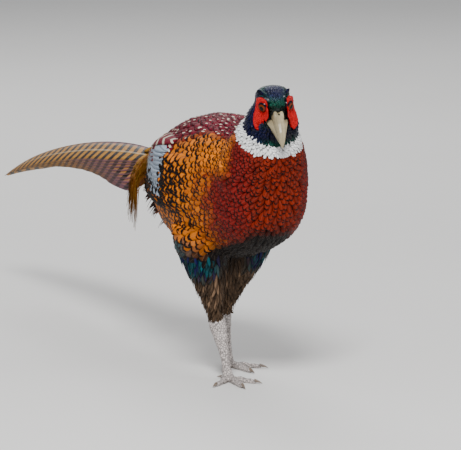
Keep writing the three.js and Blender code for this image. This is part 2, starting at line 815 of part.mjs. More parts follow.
function toeForm(leg, toe) {
  const way = toeWay(leg, toe);
  const root = new THREE.Vector3(leg.sole.x, leg.sole.y, 0);
  const side = new THREE.Vector3(-way.y, way.x, 0);
  const bulges = [1, 0.84, 1.02, 0.8, 0.9, 0.62];
  const rings = bulges.map((bulge, k) => {
    const t = k / (bulges.length - 1);
    const radius = toe.radius * bulge * lerp(1, 0.78, t);
    const middle = root.clone().addScaledVector(way, lerp(3, toe.length, t));
    return Array.from({ length: 8 }, (_, i) => {
      const angle = (2 * Math.PI * i) / 8;
      const point = middle.clone().addScaledVector(side, radius * Math.sin(angle));
      point.z = Math.max(radius * 0.82 + radius * Math.cos(angle), 0);
      return point;
    });
  });
  return skinRings(rings);
}

function clawForm(leg, toe) {
  const way = toeWay(leg, toe);
  const root = new THREE.Vector3(leg.sole.x, leg.sole.y, 0);
  const side = new THREE.Vector3(-way.y, way.x, 0);
  const size = toe.radius * 0.5;
  const rings = [0, 0.35, 0.7, 1].map((t) => {
    const radius = lerp(size, 0.35, t);
    const middle = root.clone().addScaledVector(way, toe.length - 1.5 + t * 9);
    middle.z = lerp(size * 1.5, 0.5, t * t) + 0.4;
    return Array.from({ length: 6 }, (_, i) => {
      const angle = (2 * Math.PI * i) / 6;
      const point = middle.clone().addScaledVector(side, radius * Math.sin(angle));
      point.z = Math.max(point.z + radius * 1.15 * Math.cos(angle), 0.15);
      return point;
    });
  });
  return skinRings(rings);
}

function spurForm(leg) {
  const { ankle, sole } = leg;
  const foot = new THREE.Vector3(sole.x, sole.y, 0);
  const start = new THREE.Vector3().lerpVectors(ankle, foot, 0.62);
  return limb([
    { at: start.clone().add(new THREE.Vector3(-leg.out, 1, 0)), half: 2.6, deep: 2.8 },
    { at: start.clone().add(new THREE.Vector3(-leg.out * 2, 6, 0.5)), half: 2, deep: 2.2 },
    { at: start.clone().add(new THREE.Vector3(-leg.out * 3, 11, 2)), half: 1.1, deep: 1.2 },
    { at: start.clone().add(new THREE.Vector3(-leg.out * 3.6, 15, 4)), half: 0.3, deep: 0.3 },
  ], 8);
}

const bird = new THREE.Group();
bird.position.set(-SOLE_RIGHT.x, -SOLE_RIGHT.y, 0);
const headGroup = new THREE.Group();
headGroup.applyMatrix4(headPlace);
bird.add(headGroup);

function addPart(name, solid, look, parent = bird) {
  const mesh = new THREE.Mesh(geometryOf(solid), new THREE.MeshStandardMaterial(look));
  mesh.name = name;
  parent.add(mesh);
}

// Trunk, neck and head
const bodyShape = bodyForm();
const neckRootShape = neckRootForm();
const skullShape = skullForm();
const rumpShape = rumpForm();
const torsoSpace = join([solidOf(bodyForm(GAP)), solidGrown(neckRootShape)]);
const collarShape = collarForm();
addPart('torso', largest(join([solidOf(bodyShape), solidOf(neckRootShape)])), COLOURS.copper);
addPart('collar', cutBy(solidOf(collarShape), [torsoSpace]), COLOURS.white);
const billShape = sectionForm(BILL_RIDGE, evenSteps(-9, -44.2, 10), 12, 0.9);
const billEdgeShape = sectionForm(BILL_EDGE, evenSteps(-8, -36, 7), 12, 0.9);
const billLowerShape = sectionForm(BILL_LOWER, evenSteps(-8, -40, 7), 10, 0.9);
const eyeShapes = { right: eyeForm(-1), left: eyeForm(1) };
const wattleShapes = { right: wattleForm(-1), left: wattleForm(1) };
const faceSpaces = [
  ...[skullShape, billShape, billEdgeShape, billLowerShape].map((shape) => solidGrown(placedOnHead(shape))),
  ...Object.values(wattleShapes).map((shape) => solidGrown(placedOnHead(shape), BULB_RISE)),
];
addPart(
  'neck',
  cutBy(solidOf(neckTopForm()), [...faceSpaces, solidGrown(collarShape), torsoSpace]),
  COLOURS.green,
);
const collarSpaceOnHead = solidGrown(collarShape.clone().applyMatrix4(headPlace.clone().invert()));
const upperBillSpaces = [solidGrown(billShape), solidGrown(billEdgeShape)];
const bills = [...upperBillSpaces, solidGrown(billLowerShape)];
const eyeSpaces = [solidGrown(eyeShapes.right), solidGrown(eyeShapes.left)];
addPart(
  'head',
  cutBy(solidOf(skullShape), [...bills, ...nostrilCovers(GAP), ...eyeSpaces, collarSpaceOnHead]),
  COLOURS.green,
  headGroup,
);
const upperBill = join([solidOf(billShape), solidOf(billEdgeShape), ...nostrilCovers()]);
addPart('bill_upper', cutBy(upperBill, nostrilSlits()), COLOURS.horn, headGroup);
addPart('bill_lower', cutBy(solidOf(billLowerShape), upperBillSpaces), COLOURS.horn, headGroup);

const skullSpace = solidGrown(skullShape);
for (const [side, out] of [['right', -1], ['left', 1]]) {
  const wattle = wattleShapes[side];
  const tools = [skullSpace, solidGrown(eyeShapes[side]), ...bills];
  addPart(`eye_${side}`, solidOf(eyeShapes[side]), COLOURS.amber, headGroup);
  const skin = join([solidOf(wattle), solidOf(lidForm(out)), ...wattleBulbs(out)]);
  addPart(`wattle_${side}`, cutBy(skin, tools), COLOURS.red, headGroup);
  addPart(
    `ear_tuft_${side}`,
    cutBy(join(tuftParts(out)), [skullSpace, solidGrown(wattle)]),
    COLOURS.green,
    headGroup,
  );
}

// Rump, tail and wings
const rumpSpace = solidOf(rumpForm(GAP));
const rumpCoat = rumpVanes(GAP);
addPart('rump', cutBy(join([solidOf(rumpShape), ...rumpVanes()]), [torsoSpace]), COLOURS.olive);
const tailFeathers = [];
for (const out of [-1, 1]) {
  for (let i = 0; i < TAIL_LENGTHS.length; i += 1) tailFeathers.push(tailFeather(out, i));
}
const tail = join([solidOf(tailRootForm()), ...tailFeathers]);
addPart('tail', cutBy(tail, [rumpSpace, ...rumpCoat]), COLOURS.buff);
for (const [side, out] of [['right', -1], ['left', 1]]) {
  const feathers = WING_TIERS.flatMap((tier) => wingTier(out, tier));
  const wing = join([solidOf(wingForm(out)), ...feathers]);
  addPart(`wing_${side}`, cutBy(wing, [torsoSpace, rumpSpace, ...rumpCoat]), COLOURS.greyBlue);
}

// Legs
for (const leg of LEGS) {
  const tarsus = tarsusForm(leg);
  const tarsusSpace = solidGrown(tarsus);
  addPart(`thigh_${leg.side}`, cutBy(solidOf(thighForm(leg)), [torsoSpace, tarsusSpace]), COLOURS.brown);
  addPart(`tarsus_${leg.side}`, largest(join([solidOf(tarsus), ...scutes(leg)])), COLOURS.scale);
  addPart(`spur_${leg.side}`, cutBy(solidOf(spurForm(leg)), [tarsusSpace]), COLOURS.claw);
  const earlier = [tarsusSpace];
  for (const toe of TOES) {
    const shape = toeForm(leg, toe);
    addPart(`toe_${toe.name}_${leg.side}`, cutBy(solidOf(shape), earlier), COLOURS.scale);
    const toeSpace = solidGrown(shape);
    addPart(`claw_${toe.name}_${leg.side}`, cutBy(solidOf(clawForm(leg, toe)), [toeSpace]), COLOURS.claw);
    earlier.push(toeSpace);
  }
}

export default bird;
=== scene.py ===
import itertools
import math
from functools import partialmethod

import bmesh
import bpy
import numpy as np
from mathutils import Matrix, Vector
from mathutils.bvhtree import BVHTree
from mathutils.kdtree import KDTree


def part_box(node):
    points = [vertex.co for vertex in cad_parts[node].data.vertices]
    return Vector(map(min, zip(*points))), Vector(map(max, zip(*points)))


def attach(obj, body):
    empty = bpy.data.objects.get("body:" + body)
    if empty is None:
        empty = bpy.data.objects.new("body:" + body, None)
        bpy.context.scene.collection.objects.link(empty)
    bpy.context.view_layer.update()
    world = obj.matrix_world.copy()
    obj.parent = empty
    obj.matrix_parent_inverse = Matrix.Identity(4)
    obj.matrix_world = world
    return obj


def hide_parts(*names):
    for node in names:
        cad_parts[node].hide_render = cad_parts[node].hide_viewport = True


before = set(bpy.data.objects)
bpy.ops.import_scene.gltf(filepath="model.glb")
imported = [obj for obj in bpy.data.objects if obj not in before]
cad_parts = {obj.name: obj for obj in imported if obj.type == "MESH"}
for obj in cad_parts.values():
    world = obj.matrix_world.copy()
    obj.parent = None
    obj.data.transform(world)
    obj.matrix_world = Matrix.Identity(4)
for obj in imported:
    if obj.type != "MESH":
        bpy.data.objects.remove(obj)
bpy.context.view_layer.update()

bl_info = {
    "name": "Cock Pheasant Plumage",
    "version": (1, 0, 0),
    "blender": (4, 5, 0),
    "location": "View3D > Sidebar > Pheasant",
    "description": "Feathers, bare skin, eyes, bill and legs of a standing cock pheasant",
    "category": "Object",
}

SEED = 41
SIDES = (("right", -1), ("left", 1))

# The middle plane of the body and the line that the feathers are set round
TORSO_LOW, TORSO_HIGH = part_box("torso")
MID_X = (TORSO_LOW.x + TORSO_HIGH.x) / 2
AXIS_HEIGHT = 0.190
RUMP_START = TORSO_HIGH.y
RUMP_END = 0.180
AXIS_END = 0.166

# The head: the middle between the eyes and how the head is turned
HEAD_PITCH, HEAD_ROLL, HEAD_YAW = (math.radians(a) for a in (28, -2.6, -14.5))
HEAD_TURN = (Matrix.Rotation(HEAD_YAW, 3, "Z") @ Matrix.Rotation(HEAD_PITCH, 3, "X")
             @ Matrix.Rotation(HEAD_ROLL, 3, "Y"))
EYE_OUT = 0.0106
EYE_UP = 0.002
EYE_RADIUS = 0.0062
EYE_CORNERS = [*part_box("eye_right"), *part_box("eye_left")]
EYES_MIDDLE = sum(EYE_CORNERS, Vector()) / 4 - HEAD_TURN @ Vector((0, 0, EYE_UP))
NECK_UP = Vector((-0.05, -math.sin(math.radians(29)), math.cos(math.radians(29)))).normalized()
COLLAR_MIDDLE = Vector((MID_X - 0.0035, -0.079, 0.255))

# Picture: size, the pixel where the right sole stands, scale and angle
PICTURE = (461, 450)
SOLE_PIXEL = (229.0, 381.0)
FOCAL_PIXELS = 5100.0
DISTANCE = 5.0
AZIMUTH, ELEVATION = math.radians(-25), math.radians(9)
SENSOR = 36.0


def setting(name, description, default):
    """A colour, length or number of feathers that a user may change."""
    words = {"name": name, "description": description, "default": default}
    if isinstance(default, tuple):
        return bpy.props.FloatVectorProperty(**words, size=3, subtype="COLOR", min=0, max=1)
    if isinstance(default, float):
        return bpy.props.FloatProperty(**words, min=0.001, unit="LENGTH")
    return bpy.props.IntProperty(**words, min=1)


class SizeSettings(bpy.types.PropertyGroup):
    tail_half: setting("Tail feather half width", "Half the width of a middle tail feather", 0.0150)
    bar_gap: setting("Tail bar spacing", "Distance between the dark bars of the tail", 0.0170)
    loose_plumes: setting("Loose plumes", "Hair-like plumes on each side of the rump", 150)
    vent_plumes: setting("Vent plumes", "Soft plumes under the tail on each side", 70)
    tuft_plumes: setting("Tuft plumes", "Feathers in each ear tuft", 22)


class PlumageSettings(bpy.types.PropertyGroup):
    copper: setting("Copper", "Breast feathers", (0.165, 0.0100, 0.0010))
    gold: setting("Gold", "Flank and upper back feathers", (0.54, 0.140, 0.0030))
    maroon: setting("Maroon", "Back and shoulder feathers", (0.135, 0.0022, 0.014))
    cream: setting("Cream", "Marks in the back feathers", (0.72, 0.66, 0.52))
    grey: setting("Pale grey", "Wing covert feathers", (0.26, 0.31, 0.38))
    quill: setting("Quill brown", "Flight feathers", (0.11, 0.062, 0.032))
    black: setting("Black", "Tips and bars", (0.0040, 0.0022, 0.0026))
    belly: setting("Belly", "Belly feathers", (0.0050, 0.0026, 0.0018))
    teal: setting("Teal", "Gloss on the lower flank", (0.0010, 0.060, 0.075))
    thigh: setting("Thigh", "Leg feathers", (0.080, 0.048, 0.028))
    green: setting("Green", "Crown and face feathers", (0.0010, 0.055, 0.035))
    blue: setting("Blue", "Neck feathers", (0.0030, 0.0050, 0.040))
    white: setting("White", "Neck ring feathers", (0.86, 0.86, 0.86))
    olive: setting("Olive", "Loose rump plumes", (0.33, 0.155, 0.014))
    buff: setting("Buff", "Tail feathers", (0.44, 0.185, 0.004))
    lilac: setting("Lilac", "Fringe of the tail feathers", (0.22, 0.065, 0.125))


class SkinSettings(bpy.types.PropertyGroup):
    red: setting("Red", "Bare skin of the face", (0.76, 0.0012, 0.0030))
    horn: setting("Horn", "Bill", (0.47, 0.39, 0.23))
    shank: setting("Shank", "Scaled skin of the legs", (0.62, 0.55, 0.52))
    claw: setting("Claw", "Claws and spurs", (0.17, 0.13, 0.10))
    iris: setting("Iris", "Ring of the eye", (0.13, 0.022, 0.0016))


# Shader maths


class Wire:
    """A socket or number that takes part in shader arithmetic."""

    def __init__(self, maker, socket):
        self.maker = maker
        self.socket = socket

    def maths(self, operation, *others):
        return self.maker.node("ShaderNodeMath", {"operation": operation}, self, *others)

    __add__ = partialmethod(maths, "ADD")
    __mul__ = partialmethod(maths, "MULTIPLY")
    __sub__ = partialmethod(maths, "SUBTRACT")
    __truediv__ = partialmethod(maths, "DIVIDE")
    __radd__ = __add__
    __rmul__ = __mul__

    def __rsub__(self, other):
        return self.maker.node("ShaderNodeMath", {"operation": "SUBTRACT"}, other, self)

    def above(self, low, high):
        """0 below low, 1 above high, smooth between."""
        settings = {"interpolation_type": "SMOOTHSTEP"}
        return self.maker.node("ShaderNodeMapRange", settings, self, low, high, 0.0, 1.0)


class Finish:
    """Builds one material."""

    def __init__(self, name):
        self.material = bpy.data.materials.new(name)
        self.material.use_nodes = True
        self.tree = self.material.node_tree
        self.shader = self.tree.nodes["Principled BSDF"]

    def plug(self, socket, value):
        if isinstance(value, Wire):
            self.tree.links.new(value.socket, socket)
        else:
            socket.default_value = value

    def node(self, kind, settings=None, *values, out=0, **named):
        made = self.tree.nodes.new(kind)
        for key, value in (settings or {}).items():
            setattr(made, key, value)
        for key, value in list(enumerate(values)) + list(named.items()):
            self.plug(made.inputs[key.replace("_", " ") if isinstance(key, str) else key], value)
        return Wire(self, made.outputs[out])

    def mix(self, share, first, second):
        made = self.tree.nodes.new("ShaderNodeMix")
        made.data_type = "RGBA"
        self.plug(made.inputs[0], share)
        for socket, colour in ((made.inputs[6], first), (made.inputs[7], second)):
            self.plug(socket, colour if isinstance(colour, Wire) else (*colour, 1.0))
        return Wire(self, made.outputs[2])

    def place(self):
        return self.node("ShaderNodeTexCoord", out="Object")

    def noise(self, scale, detail=3.0, vector=None):
        where = vector or self.place()
        return self.node("ShaderNodeTexNoise", None, Vector=where, Scale=scale, Detail=detail)

    def split(self, vector):
        made = self.node("ShaderNodeSeparateXYZ", None, vector)
        return [Wire(self, output) for output in made.socket.node.outputs]

    def bump(self, height, strength, distance):
        return self.node("ShaderNodeBump", None, Height=height, Strength=strength, Distance=distance)

    def surface(self, roughness=0.5, metallic=0.0, **sockets):
        for key, value in {"Roughness": roughness, "Metallic": metallic, **sockets}.items():
            self.plug(self.shader.inputs[key.replace("_", " ")], value)
        return self.material


def shaded(colour, share):
    """A colour made darker or lighter, no channel over 1."""
    return tuple(min(part * share, 1) for part in colour)


def vane_wires(make, barbs):
    """Both colours, mark, place along, distance off the shaft, and barbs of a vane."""
    base, tip = (make.node("ShaderNodeAttribute", {"attribute_name": side}) for side in ("base", "tip"))
    mark = make.split(make.node("ShaderNodeAttribute", {"attribute_name": "mark"}, out="Vector"))
    across, along, _ = make.split(make.node("ShaderNodeUVMap", {"uv_map": "Vane"}))
    off = (across - 0.5).maths("ABSOLUTE") * 2.0
    barb = make.node("ShaderNodeCombineXYZ", None, off * 3.0, along * barbs - off * 14.0, mark[2] * 50.0)
    return base, tip, mark, along, off, make.noise(1.6, 2.0, barb)


def vane_finish(name, roughness, metallic, barred=False, gloss=0.0, shade=0.9):
    """Feathers: base colour, dark tip or bars, and fine barbs off the shaft."""
    make = Finish(name)
    base, tip, mark, along, off, strands = vane_wires(make, 46.0)
    ragged = (strands - 0.5) * 0.16
    if barred:
        wave = (along * mark[1] + off * 0.55 + ragged * 0.4).maths("FRACT")
        share = 1.0 - (wave - 0.5).maths("ABSOLUTE").above(mark[0] * 0.5 - 0.03, mark[0] * 0.5 + 0.05)
    else:
        share = (along + ragged + off * mark[1]).above(1.0 - mark[0], 1.08 - mark[0])
    light = strands * shade + (0.95 - shade / 2)
    body = make.node("ShaderNodeHueSaturation", None, Color=make.mix(share, base, tip), Value=light)
    shaft = 1.0 - off.above(0.03, 0.10)
    tinted = make.mix(shaft * 0.04, body, (0.75, 0.60, 0.42))
    relief = make.bump(strands + shaft * 0.5, 0.5, 0.0006)
    return make.surface(roughness, metallic, Base_Color=tinted, Normal=relief, Coat_Weight=gloss,
                        Coat_Roughness=0.25, Specular_IOR_Level=0.10)


def tail_finish():
    """Buff vanes with narrow black bars and a lilac fringe."""
    make = Finish("tail_feather")
    base, dark, mark, along, off, strands = vane_wires(make, 200.0)
    wave = (along * mark[1] - off * 0.34 + (strands - 0.5) * 0.22).maths("FRACT")
    bar = 1.0 - (wave - 0.5).maths("ABSOLUTE").above(mark[0] * 0.5 - 0.05, mark[0] * 0.5 + 0.04)
    bar = bar * (1.0 - off.above(0.72, 0.95) * 0.5)
    fringe = off.above(0.66, 0.95) * (1.0 - along.above(0.30, 0.62))
    colour = make.mix(fringe * 0.85, base, tuple(tone("lilac")))
    colour = make.mix(bar, colour, dark)
    body = make.node("ShaderNodeHueSaturation", None, Color=colour, Value=strands * 0.9 + 0.50)
    shaft = 1.0 - off.above(0.05, 0.12)
    tinted = make.mix(shaft * 0.3, body, (0.62, 0.50, 0.30))
    relief = make.bump(strands + shaft * 1.5, 0.5, 0.0006)
    return make.surface(0.5, Base_Color=tinted, Normal=relief)


# Building blocks


def object_from(name, mesh, material):
    made = bpy.data.objects.new(name, mesh)
    bpy.context.scene.collection.objects.link(made)
    mesh.materials.clear()
    mesh.materials.append(material)
    return made


def copy_of(*nodes):
    """Merged copy of the solids of some nodes."""
    shape = bmesh.new()
    for node in nodes:
        shape.from_mesh(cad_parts[node].data)
    bmesh.ops.remove_doubles(shape, verts=shape.verts, dist=0.00001)
    return shape


def mesh_of(name, shape):
    mesh = bpy.data.meshes.new(name)
    shape.to_mesh(mesh)
    shape.free()
    return mesh


def fused(name, shape, voxel, smooth, material):
    """One even skin over the shape, from a voxel remesh and a smoothing."""
    made = object_from(name, mesh_of(name, shape), material)
    remesh = made.modifiers.new("Even", "REMESH")
    remesh.mode = "VOXEL"
    remesh.voxel_size = voxel
    remesh.use_smooth_shade = True
    relax = made.modifiers.new("Relax", "SMOOTH")
    relax.factor = 0.5
    relax.iterations = smooth
    seen = made.evaluated_get(bpy.context.evaluated_depsgraph_get())
    result = bpy.data.meshes.new_from_object(seen)
    made.modifiers.clear()
    made.data = result
    result.name = name
    result.materials.clear()
    result.materials.append(material)
    return made


def rows_of(mesh):
    """Points and normals of a mesh."""
    rows = np.empty((2, len(mesh.vertices) * 3))
    mesh.vertices.foreach_get("co", rows[0])
    mesh.vertices.foreach_get("normal", rows[1])
    return rows.reshape(2, -1, 3)


def move_points(mesh, points):
    mesh.vertices.foreach_set("co", points.reshape(-1))
    mesh.update()


def unit(rows):
    return rows / np.maximum(np.linalg.norm(rows, axis=-1, keepdims=True), 1e-9)


# Places across a feather, from edge to edge, and its width along it from root to tip
CROSS = np.array([-1.0, -0.55, 0.0, 0.55, 1.0])
VANE_OVAL = np.array([0.30, 0.80, 1.0, 1.0, 0.96, 0.80, 0.36])
VANE_LONG = np.array([0.45, 0.85, 1.0, 0.98, 0.86, 0.56, 0.12])
VANE_TAIL = np.array([0.3, 0.8, 1, 1, 0.97, 0.90, 0.76, 0.52, 0.08])

# Depth of a feather's underside for its half width, and its size on the picture of baked looks
UNDERSIDE = 0.10
BAKE_SIZE = 0.003


def stretched(shape, steps):
    """The widths of a feather at each of its steps."""
    return np.interp(np.linspace(0, 1, steps), np.linspace(0, 1, len(shape)), shape)


def framed(mids, ups, widths, tilt=0.0):
    """Rows of one feather along its middle line, its upper face turned towards ups."""
    along = unit(np.gradient(mids, axis=0))
    ups = unit(ups - along * (ups * along).sum(-1, keepdims=True))
    return mids, unit(np.cross(along, ups) + ups * tilt), ups, widths


def paint(mesh, label, colours):
    """Keeps a colour for each point of a mesh."""
    rows = np.column_stack([colours, np.ones(len(colours))])
    mesh.attributes.new(label, "FLOAT_COLOR", "POINT").data.foreach_set("color", rows.reshape(-1))


def closed_mesh(name, points):
    """Mesh of all feathers, with its corners and the number of points in each feather."""
    count, steps, lanes = points.shape[:3]
    each = steps * lanes
    around = [(lane, (lane + 1) % lanes) for lane in range(lanes)]
    walls = np.array([
        (row + lane, row + beside, row + lanes + beside, row + lanes + lane)
        for row in range(0, each - lanes, lanes) for lane, beside in around])
    ends = np.array([range(lanes - 1, -1, -1), range(each - lanes, each)])
    shift = (np.arange(count) * each)[:, None, None]
    corners = np.concatenate([(faces + shift).reshape(-1) for faces in (walls, ends)]).astype(np.int32)
    sizes = np.repeat((4, lanes), (len(walls) * count, len(ends) * count))
    mesh = bpy.data.meshes.new(name)
    mesh.vertices.add(count * each)
    mesh.vertices.foreach_set("co", points.reshape(-1))
    mesh.loops.add(len(corners))
    mesh.loops.foreach_set("vertex_index", corners)
    mesh.polygons.add(len(sizes))
    mesh.polygons.foreach_set("loop_start", (np.cumsum(sizes) - sizes).astype(np.int32))
    mesh.polygons.foreach_set("use_smooth", np.ones(len(sizes), bool))
    mesh.update(calc_edges=True)
    return mesh, corners, each


def bake_places(roots):
    """Place of each feather on the picture of baked looks."""
    turn = np.arctan2(roots[:, 0] - MID_X, roots[:, 2] - np.median(roots[:, 2])) / (2 * math.pi) + 0.5
    length = roots[:, 1] - roots[:, 2] * 0.5
    length = (length - length.min()) / max(np.ptp(length), 1e-6)
    return np.stack([turn, length], axis=1) * 0.98 + 0.01


class Plumes:
    """Many closed feathers, gathered from arrays and made into one mesh."""

    def __init__(self):
        self.rows = []

    def add(self, mids, sides, ups, widths, base, tip, mark, cup=0.18, thick=0.00025, keel=0.06):
        count = len(mids)

        def fill(value, size):
            return np.broadcast_to(np.asarray(value, float), (count, size))

        self.rows.append((
            mids, sides, ups, widths, fill(base, 3), fill(tip, 3), fill(mark, 3),
            np.full(count, cup), np.full(count, thick), np.full(count, keel)))

    def add_one(self, rows, base, tip, mark, **more):
        self.add(*(part[None] for part in rows), base, tip, mark, **more)

    def build(self, name, material):
        mids, sides, ups, widths, base, tip, mark, cup, thick, keel = (
            np.concatenate(part) for part in zip(*self.rows))
        count, steps = widths.shape
        wide = widths[:, :, None, None]
        bend = (-cup[:, None] * CROSS ** 2 + keel[:, None] * (1 - np.abs(CROSS)))[:, None, :, None]
        top = mids[:, :, None] + sides[:, :, None] * wide * CROSS[:, None]
        top = top + ups[:, :, None] * wide * bend
        below = mids - ups * (thick[:, None, None] + UNDERSIDE * widths[:, :, None])
        points = np.concatenate([top, below[:, :, None]], axis=2)
        mesh, corners, each = closed_mesh(name, points)
        paint(mesh, "base", np.repeat(base, each, axis=0))
        paint(mesh, "tip", np.repeat(tip, each, axis=0))
        channel = mesh.attributes.new("mark", "FLOAT_VECTOR", "POINT")
        channel.data.foreach_set("vector", np.repeat(mark, each, axis=0).reshape(-1))
        vane = np.meshgrid(np.append((CROSS + 1) / 2, 0.5), np.linspace(0, 1, steps))
        vane = np.stack(vane, axis=-1).reshape(1, each, 2)
        spread = bake_places(mids[:, 0])[:, None] + (vane - 0.5) * BAKE_SIZE
        for label, flat in (("Vane", np.tile(vane, (count, 1, 1))), ("OFBake", spread)):
            channel = mesh.uv_layers.new(name=label)
            channel.data.foreach_set("uv", flat.reshape(-1, 2)[corners].reshape(-1))
        made = object_from(name, mesh, material)
        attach(made, "root")
        return made


# Size of the cells that neighbours are looked for in, and height of a feather's root over the skin
CELL = 0.004
ROOT_HEIGHT = 0.0006


class Ground:
    """The skin, for setting feathers on it."""

    def __init__(self, mesh):
        points, normals = rows_of(mesh)
        polygons = [tuple(p.vertices) for p in mesh.polygons]
        self.tree = BVHTree.FromPolygons([Vector(p) for p in points], polygons)
        self.centres = np.array([p.center for p in mesh.polygons])
        self.normals = normals[[corners[0] for corners in polygons]]

    def near(self, point):
        spot, _, face, _ = self.tree.find_nearest(Vector(point))
        return np.array(spot), self.normals[face]

    def scatter(self, spacing, wanted, rng):
        """Spots at least about their own spacing apart where wanted is true."""
        keep = wanted(self.centres)
        centres, normals = self.centres[keep], self.normals[keep]
        gaps = np.broadcast_to(spacing(centres) if callable(spacing) else spacing, (len(centres),))
        taken = {}
        chosen = []
        for index in rng.permutation(len(centres)):
            gap, spot = gaps[index], centres[index]
            cell = (spot / CELL).astype(int)
            steps = range(-int(gap / CELL) - 1, int(gap / CELL) + 2)
            around = (tuple(cell + move) for move in itertools.product(steps, repeat=3))
            others = (other for place in around for other in taken.get(place, ()))
            if not any(((other - spot) ** 2).sum() < gap * gap for other in others):
                taken.setdefault(tuple(cell), []).append(spot)
                chosen.append(index)
        return centres[chosen], normals[chosen]

    def comb(self, spots, normals, lie, lengths, rise, steps):
        """Rows of points that run from each spot over the skin along its lie."""
        mids, sides, ups = np.empty((3, len(spots), steps, 3))
        for n in range(len(spots)):
            spot, up = spots[n], normals[n]
            way = lie[n]
            for s in range(steps):
                way = way - up * way.dot(up)
                way = way / max(np.linalg.norm(way), 1e-9)
                share = s / (steps - 1)
                ups[n, s] = up
                sides[n, s] = np.cross(way, up)
                mids[n, s] = spot + up * (ROOT_HEIGHT + rise[n] * share)
                spot, ahead = self.near(spot + way * lengths[n] / (steps - 1))
                up = unit(up * 0.5 + ahead * 0.5)
        return mids, sides, ups


# The skin that feathers stand on, the bare parts, and the roots and colours of the coats
GROUND = {}
TINTS = []


def coat(spots, normals, lie, lengths, widths, base, tip, mark, rise, shape=VANE_OVAL):
    """The gathered feathers of one tract of the skin."""
    TINTS.append((spots, base))
    mids, sides, ups = GROUND["skin"].comb(spots, normals, lie, lengths, rise, len(shape))
    gathered = Plumes()
    gathered.add(mids, sides, ups, widths[:, None] * shape, base, tip, mark, cup=0.22)
    return gathered


def layer(below, share, colour):
    """A colour laid over what is below it, by its share."""
    share = np.asarray(share)[..., None]
    return below * (1 - share) + np.asarray(colour) * share


def marks(size, slope, rng, count):
    """Share of dark tip or bars, their slope or number, and a number of its own, for each feather."""
    return np.column_stack([np.full(count, size), np.full(count, slope), rng.random(count)])


def tract_of(points):
    """Named measures of a place on the bird, in metres and degrees."""
    x = points[:, 0] - MID_X
    y = points[:, 1]
    z = points[:, 2]
    turn = np.degrees(np.arctan2(np.abs(x), z - AXIS_HEIGHT))
    rise = (points - np.array(COLLAR_MIDDLE)) @ np.array(NECK_UP)
    return x, y, z, turn, rise


def tone(name, share=1.0):
    """A colour of the plumage."""
    return np.array(getattr(bpy.context.scene.pheasant_plumage, name)) * share


def to_head(points):
    """Places seen from between the eyes: across, back and up."""
    return (points - np.array(EYES_MIDDLE)) @ np.array(HEAD_TURN)


def from_head(places):
    return places @ np.array(HEAD_TURN).T + np.array(EYES_MIDDLE)


def soft(value, low, high):
    """0 below low, 1 above high, smooth between."""
    share = np.clip((value - low) / (high - low), 0, 1)
    return share * share * (3 - 2 * share)


# Skin and body coat, with limits in metres on the frame's axes and degrees round the body

# How deep the skin lies under the coat and in the face, and how near feathers come to bare skin
COAT_DEPTH = 0.0032
FACE_DEPTH = 0.0011
BARE_REACH = 0.0006

# Pieces of the body coat, spacing and half width on the neck, the colour of a painted crimson sheen, the
# crown's colour, and the colour of pale painted highlights over the eyes
BODY_PIECES = 4
NECK_GAP = 0.0019
NECK_HALF = 0.0017
CRIMSON_SHEEN = np.array([0.150, 0.0050, 0.0060])
CROWN = np.array([0.022, 0.026, 0.075])
BROW_HIGHLIGHT = np.array([0.40, 0.46, 0.50])


def make_skin():
    """One skin from the collar to the thighs, sunk under the depth of the coat."""
    shape = copy_of("torso", "collar", "neck", "head", "thigh_right", "thigh_left")
    place = Matrix.Translation((MID_X, RUMP_START + 0.022, 0.193)) @ Matrix.Rotation(math.pi / 2, 4, "X")
    bmesh.ops.create_cone(shape, cap_ends=True, segments=32, radius1=0.010, radius2=0.040, depth=0.056,
                          matrix=place)
    make = Finish("under_down")
    down = make.noise(260.0, 4.0)
    tint = make.node("ShaderNodeAttribute", {"attribute_name": "base"})
    shade = make.node("ShaderNodeHueSaturation", None, Color=tint, Value=down * 0.7 + 0.15)
    finish = make.surface(0.9, Base_Color=shade, Normal=make.bump(down, 0.6, 0.0008))
    skin = fused("skin", shape, 0.0024, 6, finish)
    points, normals = rows_of(skin.data)
    face = soft((points - np.array(EYES_MIDDLE)) @ np.array(NECK_UP), -0.030, -0.012)
    points -= normals * (COAT_DEPTH * (1 - face) + FACE_DEPTH * face)[:, None]
    move_points(skin.data, points)
    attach(skin, "root")
    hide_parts("torso", "collar", "neck", "head", "thigh_right", "thigh_left")
    GROUND["skin"] = Ground(skin.data)
    GROUND["bare"] = BVHTree.FromBMesh(copy_of("wattle_right", "wattle_left", "bill_upper", "bill_lower"))


def collar_edge(points):
    """Height along the neck of the lowest white feathers, higher in front."""
    return -0.0045 + 0.0045 * soft(COLLAR_MIDDLE.y - points[:, 1], 0.016, 0.034)


def on_body_coat(points):
    _, y, z, _, rise = tract_of(points)
    under_neck = (rise < collar_edge(points) - 0.0006) | (y > -0.040)
    return under_neck & (z > 0.128) & (y < RUMP_END)


def body_spacing(points):
    _, y, _, _, rise = tract_of(points)
    near_neck = np.where(y > 0.0, 0.0, 1 - soft(-rise, 0.010, 0.045))
    return 0.0033 - 0.0007 * near_neck + 0.0014 * soft(y, -0.04, 0.02)


